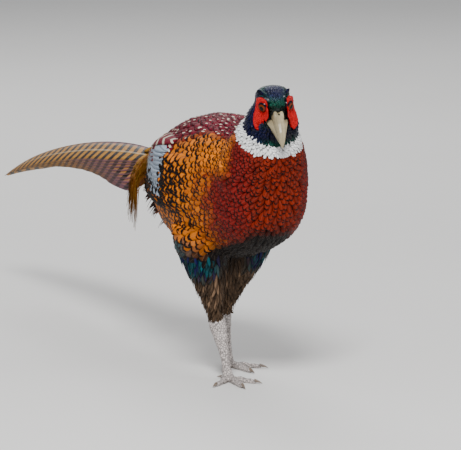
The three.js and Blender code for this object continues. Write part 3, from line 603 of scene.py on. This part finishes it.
def body_colours(spots, rng, jitter):
    """Base and tip colour and mark of each body feather, by its place."""
    x, y, z, turn, rise = tract_of(spots)
    count = len(spots)
    behind = soft(y, -0.078, -0.060)
    edge = 26 + 26 * soft(y, -0.030, 0.080)
    low = np.maximum(soft(turn, edge - 5, edge + 5), 1 - behind)
    flank = soft(y + 0.008 * jitter[:, 2], -0.054, 0.004) * low
    mantle = 1 - low
    golden = (1 - soft(-rise + 0.004 * jitter[:, 2], 0.012, 0.036)) * (y < 0.0)
    golden = golden * behind * soft(z, 0.200, 0.220)
    golden = np.maximum(golden, behind * low * (1 - soft(turn, edge + 22, edge + 40)))
    height = 0.174 - 0.028 * soft(np.abs(x), 0.014, 0.036)
    dark = soft(-z, -height, -height + 0.016) * (1 - 0.9 * soft(y, -0.020, 0.020) * (turn < 128))
    rump = soft(y, 0.095, 0.125) * (turn < 95)
    # Painted sheen: a crimson gloss laid as colour on the copper feathers at the sides of the breast
    crimson_sheen = soft(np.abs(x), 0.014, 0.034) * soft(-y, 0.004, 0.030) * soft(z, 0.140, 0.170)
    base = tone("copper")
    for share, colour in (
            (0.75 * crimson_sheen, CRIMSON_SHEEN), (flank, tone("gold")), (golden, tone("gold", 1.1)),
            (mantle, tone("maroon")), (rump, tone("maroon", 0.7) + tone("olive", 0.3)),
            (dark, tone("belly"))):
        base = layer(base, share, colour)
    base = base * (1 + 0.16 * jitter[:, :1])
    glossy = soft(-z, -0.150, -0.138) * soft(turn, 104, 112) * (1 - soft(turn, 132, 146))
    glossy = glossy * soft(y, -0.020, 0.0) * (1 - soft(y, 0.045, 0.070)) * (rng.random(count) < 0.6)
    base = layer(base, glossy, tone("teal"))
    dashed = (mantle * (1 - golden) * soft(y, -0.055, -0.030) > 0.5) & (rng.random(count) < 0.45)
    tip = layer(tone("black"), dashed.astype(float), tone("cream"))
    size = 0.120 + 0.080 * np.maximum(flank, 0.9 * golden) * (1 - dark)
    size = np.where(dashed, 0.36, size)
    slope = np.where(dashed, -0.9, 0.10)
    return base, tip, marks(size * (1 + 0.2 * jitter[:, 1]), slope, rng, count), flank, rump


def make_body_coat():
    """Feathers of the breast, flanks, back and belly, in pieces from front to rear."""
    rng = np.random.default_rng(SEED)
    spots, normals = GROUND["skin"].scatter(body_spacing, on_body_coat, rng)
    x, y, _, turn, _ = tract_of(spots)
    count = len(spots)
    jitter = rng.normal(0, 1, (count, 3))
    gap = body_spacing(spots)
    base, tip, mark, flank, rump = body_colours(spots, rng, jitter)
    down_and_back = np.column_stack([x * 2.0, np.ones(count), np.full(count, -0.42)])
    lie = unit(unit(down_and_back) + 0.09 * jitter)
    lengths = gap * (3.0 + 0.5 * flank + 0.4 * rump) * (1 + 0.07 * jitter[:, 2])
    widths = gap * (0.96 + 0.24 * flank + 0.05 * jitter[:, 0])
    flank_edge = 0.050 + 0.0020 * (turn - 56)
    over_wing = soft(y, -0.025, 0.020) * (1 - soft(y - flank_edge, -0.010, 0.0))
    over_wing = over_wing * soft(turn, 50, 58) * (1 - soft(turn, 100, 112))
    lift = 0.0018 + 0.0005 * flank + 0.0004 * rng.random(count) + 0.0052 * over_wing
    finish = vane_finish("body_feather", 0.56, 0.05)
    rows = (spots, normals, lie, lengths, widths, base, tip, mark, lift)
    for number, part in enumerate(np.array_split(np.argsort(y, kind="stable"), BODY_PIECES)):
        piece = coat(*(row[part] for row in rows)).build(f"body_coat_{number + 1}", finish)


def make_leg_coat():
    """Brown feathers of the thighs, with dark and glossy ones where they meet the flanks."""
    rng = np.random.default_rng(SEED + 1)

    def on_leg(points):
        return (points[:, 2] < 0.134) & (points[:, 2] > 0.046)

    def spacing(points):
        return 0.0023 + 0.0014 * soft(points[:, 2], 0.06, 0.125)

    spots, normals = GROUND["skin"].scatter(spacing, on_leg, rng)
    x, y, z, _, _ = tract_of(spots)
    count = len(spots)
    jitter = rng.normal(0, 1, (count, 3))
    gap = spacing(spots)
    high = soft(z, 0.095, 0.130)
    middle = 1 - soft(np.abs(x), 0.012, 0.030)
    dark = np.maximum(high * soft(-y, -0.050, 0.0) * (0.4 + 0.6 * middle), middle * high)
    base = layer(tone("thigh"), dark, tone("belly"))
    teal = soft(z, 0.104, 0.122) * soft(np.abs(x), 0.018, 0.030) * (1 - soft(y, 0.040, 0.070))
    navy = rng.random(count)[:, None] < 0.5
    gloss = np.where(navy, tone("blue"), tone("teal") * (0.4 + 0.9 * rng.random((count, 1))))
    base = layer(base, teal, gloss) * (1 + 0.22 * jitter[:, :1])
    pale = (rng.random(count) < 0.10) & (z < 0.110)
    base = np.where(pale[:, None], tone("thigh", 2.6), base)
    mark = marks(0.10 + 0.05 * rng.random(count), 0.1, rng, count)
    lie = unit(np.array([0.0, 0.28, -1.0]) + 0.13 * jitter)
    lift = 0.0022 + 0.0018 * rng.random(count)
    feathers = coat(spots, normals, lie, gap * 5.2, gap * 0.55, base, base * 0.5, mark, lift, VANE_LONG)
    piece = feathers.build("leg_coat", vane_finish("leg_feather", 0.7, 0.0))


def make_neck_coat():
    """White ring and glossy neck feathers."""
    rng = np.random.default_rng(SEED + 2)

    def on_neck(points):
        _, y, _, _, rise = tract_of(points)
        below_head = (rise < 0.021) | (to_head(points)[:, 2] < -0.016)
        return (rise > collar_edge(points)) & (y < -0.030) & below_head

    spots, normals = GROUND["skin"].scatter(NECK_GAP, on_neck, rng)
    x, y, _, _, rise = tract_of(spots)
    count = len(spots)
    jitter = rng.normal(0, 1, (count, 3))
    front = soft(COLLAR_MIDDLE.y - y, 0.022, 0.034)
    middle = 1 - soft(np.abs(x + 0.002), 0.0, 0.004)
    high = 0.0080 + 0.0040 * soft(x, 0.018, 0.028) - 0.0050 * front - 0.0055 * middle * front
    ring = rise < high + 0.0008 * jitter[:, 0]
    side = soft(np.abs(x + 0.002), 0.010, 0.022)
    throat = (1 - soft(rise, 0.006, 0.016)) * (1 - side)
    base = layer(layer(tone("blue", 0.3), side, tone("blue")), throat, tone("green"))
    base = np.where(ring[:, None], tone("white"), base) * (1 + 0.08 * jitter[:, :1])
    tip = np.where(ring[:, None], tone("white", 0.96), base * 0.35)
    mark = marks(0.14, 0.08, rng, count)
    lie = unit(-np.array(NECK_UP) + np.array([0, 0.10, 0]) + 0.08 * jitter)
    lengths = np.where(ring, 0.0050, 0.0058) * (1 + 0.10 * jitter[:, 2])
    rows = (spots, normals, lie, lengths, np.full(count, NECK_HALF), base, tip, mark)
    for name, group, finish, slot in (
            ("neck_ring", ring, vane_finish("white_feather", 0.75, 0.0, shade=0.25), "white_feathers"),
            ("neck_coat", ~ring, vane_finish("glossy_feather", 0.34, 0.6, gloss=0.1), "head_feathers")):
        lift = 0.0017 + 0.0005 * rng.random(group.sum())
        piece = coat(*(row[group] for row in rows), lift).build(name, finish)


def make_head_coat():
    """Slate crown, green face, blue cheeks, black about the bill, and pale flecks over the eyes."""
    rng = np.random.default_rng(SEED + 3)

    def on_head(points):
        _, y, _, _, rise = tract_of(points)
        near_bare = (GROUND["bare"].find_nearest(Vector(point), BARE_REACH)[0] for point in points)
        covered = np.array([found is None for found in near_bare])
        return (rise > 0.012) & (to_head(points)[:, 2] > -0.024) & covered & (y < -0.03)

    def spacing(points):
        return 0.0013 + 0.0004 * soft(to_head(points)[:, 1], -0.012, 0.01)

    spots, normals = GROUND["skin"].scatter(spacing, on_head, rng)
    across, back, up = to_head(spots).T
    across = np.abs(across)
    count = len(spots)
    gap = spacing(spots)
    jitter = rng.normal(0, 1, (count, 3))
    side = soft(across, 0.008, 0.015)
    base = layer(tone("green"), np.maximum(side, soft(-up, 0.006, 0.018)), tone("blue"))
    base = layer(base, soft(up, 0.0085, 0.0125), CROWN)
    black = (1 - soft(up + back * 0.5, -0.0010, 0.0035)) * (1 - side)
    black = black * (1 - soft(back, -0.010, -0.004))
    base = base * (1 - 0.93 * black[:, None])
    # Painted highlights: pale specks in the base and tip colours of some feathers over the eyes
    brow = soft(up, 0.0065, 0.0080) * soft(across, 0.005, 0.007)
    highlighted = (brow * (1 - soft(back, 0.002, 0.008)) * (rng.random(count) < 0.45)) > 0.5
    tip = np.where(highlighted[:, None], BROW_HIGHLIGHT, base * 0.35)
    base = np.where(highlighted[:, None], BROW_HIGHLIGHT * 0.7, base) * (1 + 0.12 * jitter[:, :1])
    mark = marks(0.16, 0.10, rng, count)
    lie = unit(np.array(HEAD_TURN @ Vector((0, 1, -0.25))) + 0.08 * jitter)
    lift = 0.0008 + 0.0004 * rng.random(count)
    feathers = coat(spots, normals, lie, gap * 2.7, gap * 0.95, base, tip, mark, lift)
    piece = feathers.build("head_coat", vane_finish("head_feather", 0.34, 0.6, gloss=0.1))


def tint_skin():
    """Gives the skin the colours of the feathers that root over it."""
    spots = np.concatenate([part for part, _ in TINTS])
    colours = np.concatenate([part for _, part in TINTS])
    tree = KDTree(len(spots))
    for index, spot in enumerate(spots):
        tree.insert(spot, index)
    tree.balance()
    mesh = bpy.data.objects["skin"].data
    points, _ = rows_of(mesh)
    paint(mesh, "base", colours[[tree.find(point)[1] for point in points]])


# Wings, rump and tail, with limits as on the body

# Steps along a feather, how often a wing feather's line is smoothed, and how much it leans
WING_STEPS = 12
PLUME_STEPS = 9
TAIL_STEPS = 26
SMOOTHINGS = 2
WING_LEAN = 0.13

# Tiers of the wing: count, root, first and last tip, angles of the roots and of the tips, half
# width, lift, colour, tip colour, width of a bar, number of bars
WING_TIERS = (
    (9, 0.085, (0.150, 0.172), (97, 78), (91, 66), 0.0064, 0.0012, ("quill", 1), ("cream", 0.7), 0.3, 11),
    (10, 0.070, (0.122, 0.150), (99, 62), (95, 58), 0.0078, 0.0022, ("quill", 1.2), ("cream", 0.7), 0.3, 8),
    (5, 0.048, (0.124, 0.146), (62, 46), (62, 47), 0.0088, 0.0032, ("maroon", 1.3), ("cream", 0.8), 0.25, 5),
    (11, 0.066, (0.106, 0.118), (97, 54), (96, 54), 0.0080, 0.0034, ("grey", 1.1), ("grey", 0.6), 0.1, 1),
    (12, 0.048, (0.086, 0.098), (96, 54), (96, 55), 0.0074, 0.0042, ("grey", 1.35), ("grey", 0.7), 0.1, 1),
)

# Rows of feathers over the rump, and the browns of its loose plumes
RUMP_ROWS = 8
RUST = np.array([0.24, 0.070, 0.012])
UMBER = np.array([0.15, 0.030, 0.006])


def between(pair, share):
    return pair[0] + (pair[1] - pair[0]) * share


def body_reach(y, degrees, out):
    """Axis of the body at a place, the way out from it, and how far out the skin lies."""
    height = AXIS_HEIGHT + 0.006 * float(soft(np.array(y), 0.10, 0.18))
    centre = Vector((MID_X, min(y, AXIS_END), height))
    way = Vector((out * math.sin(math.radians(degrees)), 0, math.cos(math.radians(degrees))))
    spot, _, _, _ = GROUND["skin"].tree.ray_cast(centre, way)
    reach = (spot - centre).length - max(y - 0.160, 0) * 0.30
    return Vector((centre.x, y, centre.z)), way, reach


def laid(out, root, tip, half, lift, steps, tilt):
    """Rows of one feather laid over the side of the body."""
    mids = []
    ups = []
    for share in np.linspace(0, 1, steps):
        y, degrees = (between(pair, share) for pair in zip(root, tip))
        centre, way, reach = body_reach(y, degrees, out)
        height = between(lift, min(share * 3, 1))
        mids.append(np.array(centre + way * (reach + COAT_DEPTH + height)))
        ups.append(np.array(way))
    mids = np.array(mids)
    for _ in range(SMOOTHINGS):
        mids[1:-1] = mids[1:-1] * 0.5 + (mids[:-2] + mids[2:]) * 0.25
    return framed(mids, np.array(ups), half * stretched(VANE_LONG, steps), tilt)


def make_wings():
    """Flight feathers and coverts of both wings."""
    for side, out in SIDES:
        rng = np.random.default_rng(SEED + 4)
        plumes = Plumes()
        for count, root_y, tips, roots, ends, half, lift, base, tip, size, bars in WING_TIERS:
            for share in np.linspace(0, 1, count):
                root = (root_y + 0.004 * rng.random(), between(roots, share))
                end = (between(tips, share), between(ends, share))
                rows = laid(out, root, end, half, (0.0005, lift), WING_STEPS, out * WING_LEAN)
                colour = tone(*base) * (1 + 0.12 * rng.normal())
                mark = (size, bars, rng.random())
                plumes.add_one(rows, colour, tone(*tip), mark, cup=0.10, thick=0.0003)
        finish = vane_finish(f"wing_feather_{side}", 0.55, 0.0, barred=True)
        piece = plumes.build(f"wing_coat_{side}", finish)
        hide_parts(f"wing_{side}")


def free_plume(start, out, back, fall, spread, half):
    """Rows of one loose plume that leaves the body and hangs."""
    t = np.linspace(0, 1, PLUME_STEPS)
    sideways = out * (spread * np.minimum(t * 2.2, 1) - 0.3 * spread * t)
    mids = np.array(start) + np.stack([sideways, back * t, 0.004 * t - fall * t ** 1.5], axis=1)
    return framed(mids, np.array([out, 0.6, 0.3]), half * stretched(VANE_LONG, PLUME_STEPS))


def make_rump():
    """Rows of short feathers over the rump, and loose plumes that hang beside and under the tail."""
    rng = np.random.default_rng(SEED + 6)
    sizes = bpy.context.scene.pheasant_sizes
    plumes = Plumes()
    for row in range(RUMP_ROWS):
        for turn in np.linspace(-1, 1, 15 - row):
            root_y = 0.118 + 0.008 * row
            end_y = root_y + 0.050 + 0.002 * row - 0.012 * abs(turn)
            degrees = turn * (78 - 7 * row) + rng.normal() * 1.5
            out = 1 if degrees >= 0 else -1
            rows = laid(out, (root_y, abs(degrees)), (end_y, abs(degrees)), 0.0052,
                        (0.0, 0.0020 + 0.0007 * row), PLUME_STEPS, 0.06 * rng.normal())
            base = layer(tone("maroon", 1.1) + tone("olive", 0.35), abs(turn), tone("olive"))
            base = base * (1 + 0.12 * rng.normal())
            plumes.add_one(rows, base, tone("black"), (0.10, 0.3, rng.random()), cup=0.2)
    for out in (-1, 1):
        for _ in range(sizes.loose_plumes):
            share = rng.random()
            centre, way, reach = body_reach(0.116 + 0.036 * share, 52 + 40 * rng.random(), out)
            start = centre + way * (reach - 0.001)
            fall = 0.060 - 0.018 * share + 0.006 * rng.normal()
            spread = 0.014 + 0.005 * rng.random()
            half = 0.0011 + 0.0006 * rng.random()
            rows = free_plume(start, out, 0.020 + 0.022 * share, fall, spread, half)
            base = layer(tone("olive", 0.9), rng.random() ** 2, RUST)
            plumes.add_one(rows, base, base * 0.6, (0.2, 0.2, rng.random()), cup=0.05)
        for _ in range(sizes.vent_plumes):
            share = rng.random()
            centre, way, reach = body_reach(0.110 + 0.036 * share, 96 + 78 * rng.random(), out)
            start = centre + way * (reach - 0.002)
            rows = free_plume(start, out, 0.024, 0.010 + 0.010 * rng.random(), 0.002, 0.0022)
            base = layer(UMBER, rng.random(), tone("belly", 3))
            plumes.add_one(rows, base, base * 0.5, (0.2, 0.2, rng.random()), cup=0.1)
    piece = plumes.build("rump_coat", vane_finish("rump_feather", 0.6, 0.0))
    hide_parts("rump")


# The tail: its line from root to tip, lengths of its feathers from the middle outwards, and its roof
TAIL_LINE_Y = np.array([0.150, 0.180, 0.225, 0.290, 0.390, 0.490, 0.592])
TAIL_LINE_Z = np.array([0.199, 0.202, 0.204, 0.200, 0.185, 0.162, 0.125])
TAIL_LENGTHS = (0.412, 0.392, 0.356, 0.306, 0.254, 0.206, 0.168, 0.136, 0.108)
TAIL_ROOF = math.radians(38)


def make_tail():
    """Long barred feathers in steps, the middle pair on top, laid as a roof."""
    rng = np.random.default_rng(SEED + 7)
    sizes = bpy.context.scene.pheasant_sizes
    plumes = Plumes()
    smooth_line = np.polyfit(TAIL_LINE_Y, TAIL_LINE_Z, 4)
    t = np.linspace(0, 1, TAIL_STEPS)
    shape = stretched(VANE_TAIL, TAIL_STEPS)
    for out in (-1, 1):
        up = np.array([out * math.sin(TAIL_ROOF), 0, math.cos(TAIL_ROOF)])
        fall = np.array([out * math.cos(TAIL_ROOF), 0, -math.sin(TAIL_ROOF)])
        for n, length in enumerate(TAIL_LENGTHS):
            half = sizes.tail_half * (1 - 0.02 * n)
            y = AXIS_END + (RUMP_END + length - AXIS_END) * t
            middle = np.full(TAIL_STEPS, MID_X + out * 0.0004)
            mids = np.column_stack([middle, y, np.polyval(smooth_line, y)])
            shift = half * shape + (0.0006 + 0.0026 * np.minimum(t * 5, 1)) * n
            mids = mids + fall * shift[:, None] - up * (0.0005 + 0.0012 * n)
            rows = framed(mids, up, half * shape)
            outer = n / (len(TAIL_LENGTHS) - 1)
            base = layer(tone("buff"), 0.7 * outer ** 2, tone("lilac")) * (1 + 0.05 * rng.normal())
            mark = (0.50, length / sizes.bar_gap, rng.random())
            plumes.add_one(rows, base, tone("black"), mark, cup=0.06, thick=0.0003, keel=0.05)
    piece = plumes.build("tail_coat", tail_finish())
    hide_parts("tail")


def make_ear_tufts():
    """Short tufts of glossy feathers behind and above the eyes."""
    rng = np.random.default_rng(SEED + 8)
    plumes = Plumes()
    t = np.linspace(0, 1, len(VANE_OVAL))
    for out in (-1, 1):
        up = np.array(HEAD_TURN @ Vector((out * 0.8, -0.2, 0.55)))
        for _ in range(bpy.context.scene.pheasant_sizes.tuft_plumes):
            spread = rng.uniform(-1, 1)
            across = out * (0.0108 + (0.0042 + spread * 0.0012) * t)
            back = 0.008 + (0.0050 + spread * 0.0042) * t
            height = 0.0084 + (0.0032 - spread * 0.0018) * t - 0.0016 * t * t + 0.0005 * rng.normal()
            rows = framed(from_head(np.stack([across, back, height], axis=1)), up, 0.0015 * VANE_OVAL)
            base = tone("blue") * (0.7 + 0.5 * rng.random())
            plumes.add_one(rows, base, base * 0.4, (0.2, 0.1, rng.random()), cup=0.1, thick=0.0002)
    piece = plumes.build("ear_tuft_coat", vane_finish("tuft_feather", 0.36, 0.6, gloss=0.1))
    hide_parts("ear_tuft_right", "ear_tuft_left")


# Bare skin, eyes, bill and legs

# How far the lids stand from the eye, where they open, and how deep the warts are
LID_GAP = 0.0004
LID_REACH = 0.0125
LID_OPEN = (0.30, 0.56)
WARTS = 0.00018
GRAINS = 0.00004

# How much a shank swells towards the thigh, and the toes of a foot
SHANK_SWELL = 0.0034
TOES = ("inner", "middle", "outer", "hind")


def eye_centre(out):
    return EYES_MIDDLE + HEAD_TURN @ Vector((out * EYE_OUT, 0, EYE_UP))


def eye_look(out):
    """Way that an eye looks: outwards and forwards."""
    return (HEAD_TURN @ Vector((out * 0.70, -0.71, 0.02))).normalized()


def make_wattles():
    """Bare red skin of the face, folded into small warts, open around the eye."""
    rng = np.random.default_rng(SEED + 9)
    red = tuple(bpy.context.scene.pheasant_skin.red)
    make = Finish("red_wattle")
    grains = make.node("ShaderNodeTexVoronoi", {"feature": "F1"}, Vector=make.place(), Scale=1100.0)
    folds = make.noise(220.0, 3.0)
    colour = make.mix(grains * 1.1, red, shaded(red, 0.30))
    relief = make.bump(folds - grains * 1.6, 0.6, 0.0010)
    finish = make.surface(0.5, Base_Color=colour, Normal=relief, Specular_IOR_Level=0.2)
    for side, out in SIDES:
        piece = fused(f"face_skin_{side}", copy_of(f"wattle_{side}"), 0.00040, 1, finish)
        points, normals = rows_of(piece.data)
        eye = np.array(eye_centre(out))
        around = points - eye
        reach = np.linalg.norm(around, axis=1)
        ripple = np.sin(points @ np.array([1100.0, 700.0, 1700.0]))
        ripple = ripple * np.sin(points @ np.array([-900.0, 1500.0, 800.0]))
        points += normals * (WARTS * ripple + GRAINS * rng.normal(size=len(points)))[:, None]
        facing = around @ np.array(eye_look(out)) / reach
        closed = EYE_RADIUS - 0.0003
        lid = closed + (reach - closed) * (1 - soft(facing, *LID_OPEN))
        lid = np.where(reach < EYE_RADIUS + LID_GAP, closed, lid)
        lidded = eye + around / reach[:, None] * lid[:, None]
        points = np.where((reach < LID_REACH)[:, None], lidded, points)
        spot = to_head(points)
        limit = 0.0100 + 0.0030 * soft(-spot[:, 2], 0.0, 0.006)
        spot[:, 0] += out * 0.70 * np.maximum(limit - out * spot[:, 0], 0)
        move_points(piece.data, from_head(spot))
        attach(piece, "root")
        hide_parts(f"wattle_{side}")


def make_eyes():
    """Eyeballs with a pupil and an amber ring, which look out to the side."""
    iris = bpy.context.scene.pheasant_skin.iris
    for side, out in SIDES:
        centre = eye_centre(out)
        make = Finish(f"eye_{side}")
        shift = make.node("ShaderNodeVectorMath", {"operation": "SUBTRACT"}, make.place(), tuple(centre))
        look = tuple(eye_look(out))
        share = make.node("ShaderNodeVectorMath", {"operation": "DOT_PRODUCT"}, shift, look, out="Value")
        share = share / EYE_RADIUS
        amber = make.mix(make.noise(1400.0, 2.0), shaded(iris, 0.6), shaded(iris, 1.3))
        ring = make.mix(share.above(0.915, 0.930), amber, (0.001, 0.001, 0.001))
        whole = make.mix(share.above(0.76, 0.81), (0.004, 0.003, 0.008), ring)
        finish = make.surface(0.12, Base_Color=whole, Coat_Weight=0.3, Coat_Roughness=0.04,
                              Specular_IOR_Level=0.0)
        shape = bmesh.new()
        bmesh.ops.create_uvsphere(shape, u_segments=40, v_segments=28, radius=EYE_RADIUS)
        bmesh.ops.translate(shape, verts=shape.verts, vec=centre)
        for face in shape.faces:
            face.smooth = True
        name = f"eyeball_{side}"
        piece = object_from(name, mesh_of(name, shape), finish)
        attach(piece, "root")
        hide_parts(f"eye_{side}")


def make_bill():
    """Upper and lower bill, darker at the tip and along the edges."""
    horn = bpy.context.scene.pheasant_skin.horn
    make = Finish("bill_horn")
    middle = make.node("ShaderNodeMapping", None, Vector=make.place(), Location=tuple(-EYES_MIDDLE))
    across, _, up = make.split(middle)
    tip = (up * -1.0).above(0.026, 0.038)
    # Painted shade: the bill grows darker towards its sides, away from its middle
    edge = across.maths("ABSOLUTE").above(0.0030, 0.0075)
    streak = make.noise(220.0, 4.0)
    colour = make.mix(streak, shaded(horn, 0.50), shaded(horn, 1.15))
    # The painted shade towards the sides is laid over the streaked horn
    colour = make.mix(edge * 0.55, colour, shaded(horn, 0.42))
    colour = make.mix(tip * 0.5, colour, shaded(horn, 0.45))
    finish = make.surface(0.38, Base_Color=colour, Normal=make.bump(streak, 0.25, 0.0004))
    for part in ("upper", "lower"):
        piece = fused(f"bill_{part}_horn", copy_of(f"bill_{part}"), 0.00036, 2, finish)
        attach(piece, "root")
        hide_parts(f"bill_{part}")


def scaled_finish(skin):
    """Plates with dark edges on the shanks and toes."""
    make = Finish("scaled_skin")
    feature = {"feature": "DISTANCE_TO_EDGE"}
    plates = make.node("ShaderNodeTexVoronoi", feature, Vector=make.place(), Scale=400.0)
    edge = plates.above(0.02, 0.16)
    tint = make.mix(make.noise(120.0, 4.0), shaded(skin, 0.66), shaded(skin, 1.2))
    colour = make.mix(edge, shaded(skin, 0.26), tint)
    return make.surface(0.55, Base_Color=colour, Normal=make.bump(edge, 0.7, 0.0007))


def claw_finish(horn):
    """Dark streaked horn."""
    make = Finish("claw_horn")
    grain = make.noise(420.0, 3.0)
    colour = make.mix(grain, shaded(horn, 0.6), shaded(horn, 1.5))
    return make.surface(0.35, Base_Color=colour, Normal=make.bump(grain, 0.2, 0.0003))


def make_legs():
    """Scaled shanks and toes, claws and spurs."""
    settings = bpy.context.scene.pheasant_skin
    shank, claw = scaled_finish(settings.shank), claw_finish(settings.claw)
    for side, _ in SIDES:
        names = [f"tarsus_{side}"] + [f"toe_{toe}_{side}" for toe in TOES]
        piece = fused(f"shank_and_toes_{side}", copy_of(*names), 0.0006, 2, shank)
        points, normals = rows_of(piece.data)
        swell = SHANK_SWELL * soft(points[:, 2], 0.018, 0.052)
        move_points(piece.data, points + normals * swell[:, None])
        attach(piece, "root")
        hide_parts(*names)
        names = [f"spur_{side}"] + [f"claw_{toe}_{side}" for toe in TOES]
        piece = fused(f"claws_and_spur_{side}", copy_of(*names), 0.0004, 3, claw)
        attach(piece, "root")
        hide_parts(*names)


# Stage


# Lamps: name, place, size and power
LAMPS = (
    ("key", (-1.1, -1.9, 2.3), 0.8, 120),
    ("fill", (1.9, -1.5, 1.1), 1.8, 18),
    ("rim", (0.6, 2.2, 1.9), 1.2, 34),
)
LIT_PLACE = Vector((MID_X, 0.05, 0.18))


def make_floor():
    """A plain pale floor."""
    make = Finish("pale_floor")
    colour = make.mix(make.noise(2.0, 2.0), (0.74, 0.73, 0.71), (0.80, 0.79, 0.77))
    shape = bmesh.new()
    bmesh.ops.create_grid(shape, x_segments=1, y_segments=1, size=14.0)
    floor = object_from("floor", mesh_of("floor", shape), make.surface(0.85, Base_Color=colour))


def make_light(scene):
    """A soft pale sky and three lamps."""
    world = bpy.data.worlds.new("soft_day")
    scene.world = world
    world.use_nodes = True
    world.node_tree.nodes["Background"].inputs["Color"].default_value = (0.88, 0.90, 0.94, 1)
    world.node_tree.nodes["Background"].inputs["Strength"].default_value = 0.40
    for name, place, size, power in LAMPS:
        lamp = bpy.data.lights.new(name, "AREA")
        lamp.size = size
        lamp.energy = power
        item = bpy.data.objects.new(name, lamp)
        item.location = place
        item.rotation_euler = (LIT_PLACE - Vector(place)).to_track_quat("-Z", "Y").to_euler()
        scene.collection.objects.link(item)


def make_camera(scene):
    """Camera at the picture's angle, with the right sole on its pixel."""
    level = math.cos(ELEVATION)
    backward = Vector((math.sin(AZIMUTH) * level, -math.cos(AZIMUTH) * level, math.sin(ELEVATION)))
    right = Vector((math.cos(AZIMUTH), math.sin(AZIMUTH), 0))
    up = backward.cross(right)
    aim = right * (PICTURE[0] / 2 - SOLE_PIXEL[0]) + up * (SOLE_PIXEL[1] - PICTURE[1] / 2)
    data = bpy.data.cameras.new("camera")
    data.sensor_width = SENSOR
    data.lens = FOCAL_PIXELS / PICTURE[0] * SENSOR
    data.clip_end = 60
    camera = bpy.data.objects.new("camera", data)
    place = aim * (DISTANCE / FOCAL_PIXELS) + backward * DISTANCE
    camera.matrix_world = Matrix.Translation(place) @ Matrix((right, up, backward)).transposed().to_4x4()
    scene.collection.objects.link(camera)
    scene.camera = camera


def make_stage():
    """Floor, lights and camera."""
    scene = bpy.context.scene
    make_floor()
    make_light(scene)
    make_camera(scene)


# Operators, panel and registration


def step(make):
    """An operator that makes one piece or group of like pieces, named for its function."""
    idname = make.__name__.removeprefix("make_")

    def execute(self, context):
        make()
        return {"FINISHED"}

    return type(f"PHEASANT_OT_{idname}", (bpy.types.Operator,), {
        "bl_idname": f"pheasant.{idname}", "bl_label": idname.replace("_", " ").capitalize(),
        "__doc__": make.__doc__, "execute": execute})


STEPS = [step(make) for make in (
    make_stage, make_skin, make_body_coat, make_leg_coat, make_neck_coat, make_head_coat, tint_skin,
    make_wings, make_rump, make_tail, make_ear_tufts, make_wattles, make_eyes, make_bill, make_legs)]


class PHEASANT_PT_panel(bpy.types.Panel):
    """Lists the sizes, the colours and the steps."""

    bl_label = "Pheasant"
    bl_space_type = "VIEW_3D"
    bl_region_type = "UI"
    bl_category = "Pheasant"

    def draw(self, context):
        for label in GROUPS:
            group = getattr(context.scene, label)
            for name in group.__annotations__:
                self.layout.prop(group, name)
        for operator in STEPS:
            self.layout.operator(operator.bl_idname)


GROUPS = {
    "pheasant_sizes": SizeSettings, "pheasant_plumage": PlumageSettings, "pheasant_skin": SkinSettings}
CLASSES = (*GROUPS.values(), *STEPS, PHEASANT_PT_panel)


def register():
    for item in CLASSES:
        bpy.utils.register_class(item)
    for label, group in GROUPS.items():
        setattr(bpy.types.Scene, label, bpy.props.PointerProperty(type=group))


def unregister():
    for label in GROUPS:
        delattr(bpy.types.Scene, label)
    for item in reversed(CLASSES):
        bpy.utils.unregister_class(item)


def main():
    register()
    for operator in STEPS:
        getattr(bpy.ops.pheasant, operator.bl_idname.split(".")[1])()


if __name__ == "__main__":
    main()
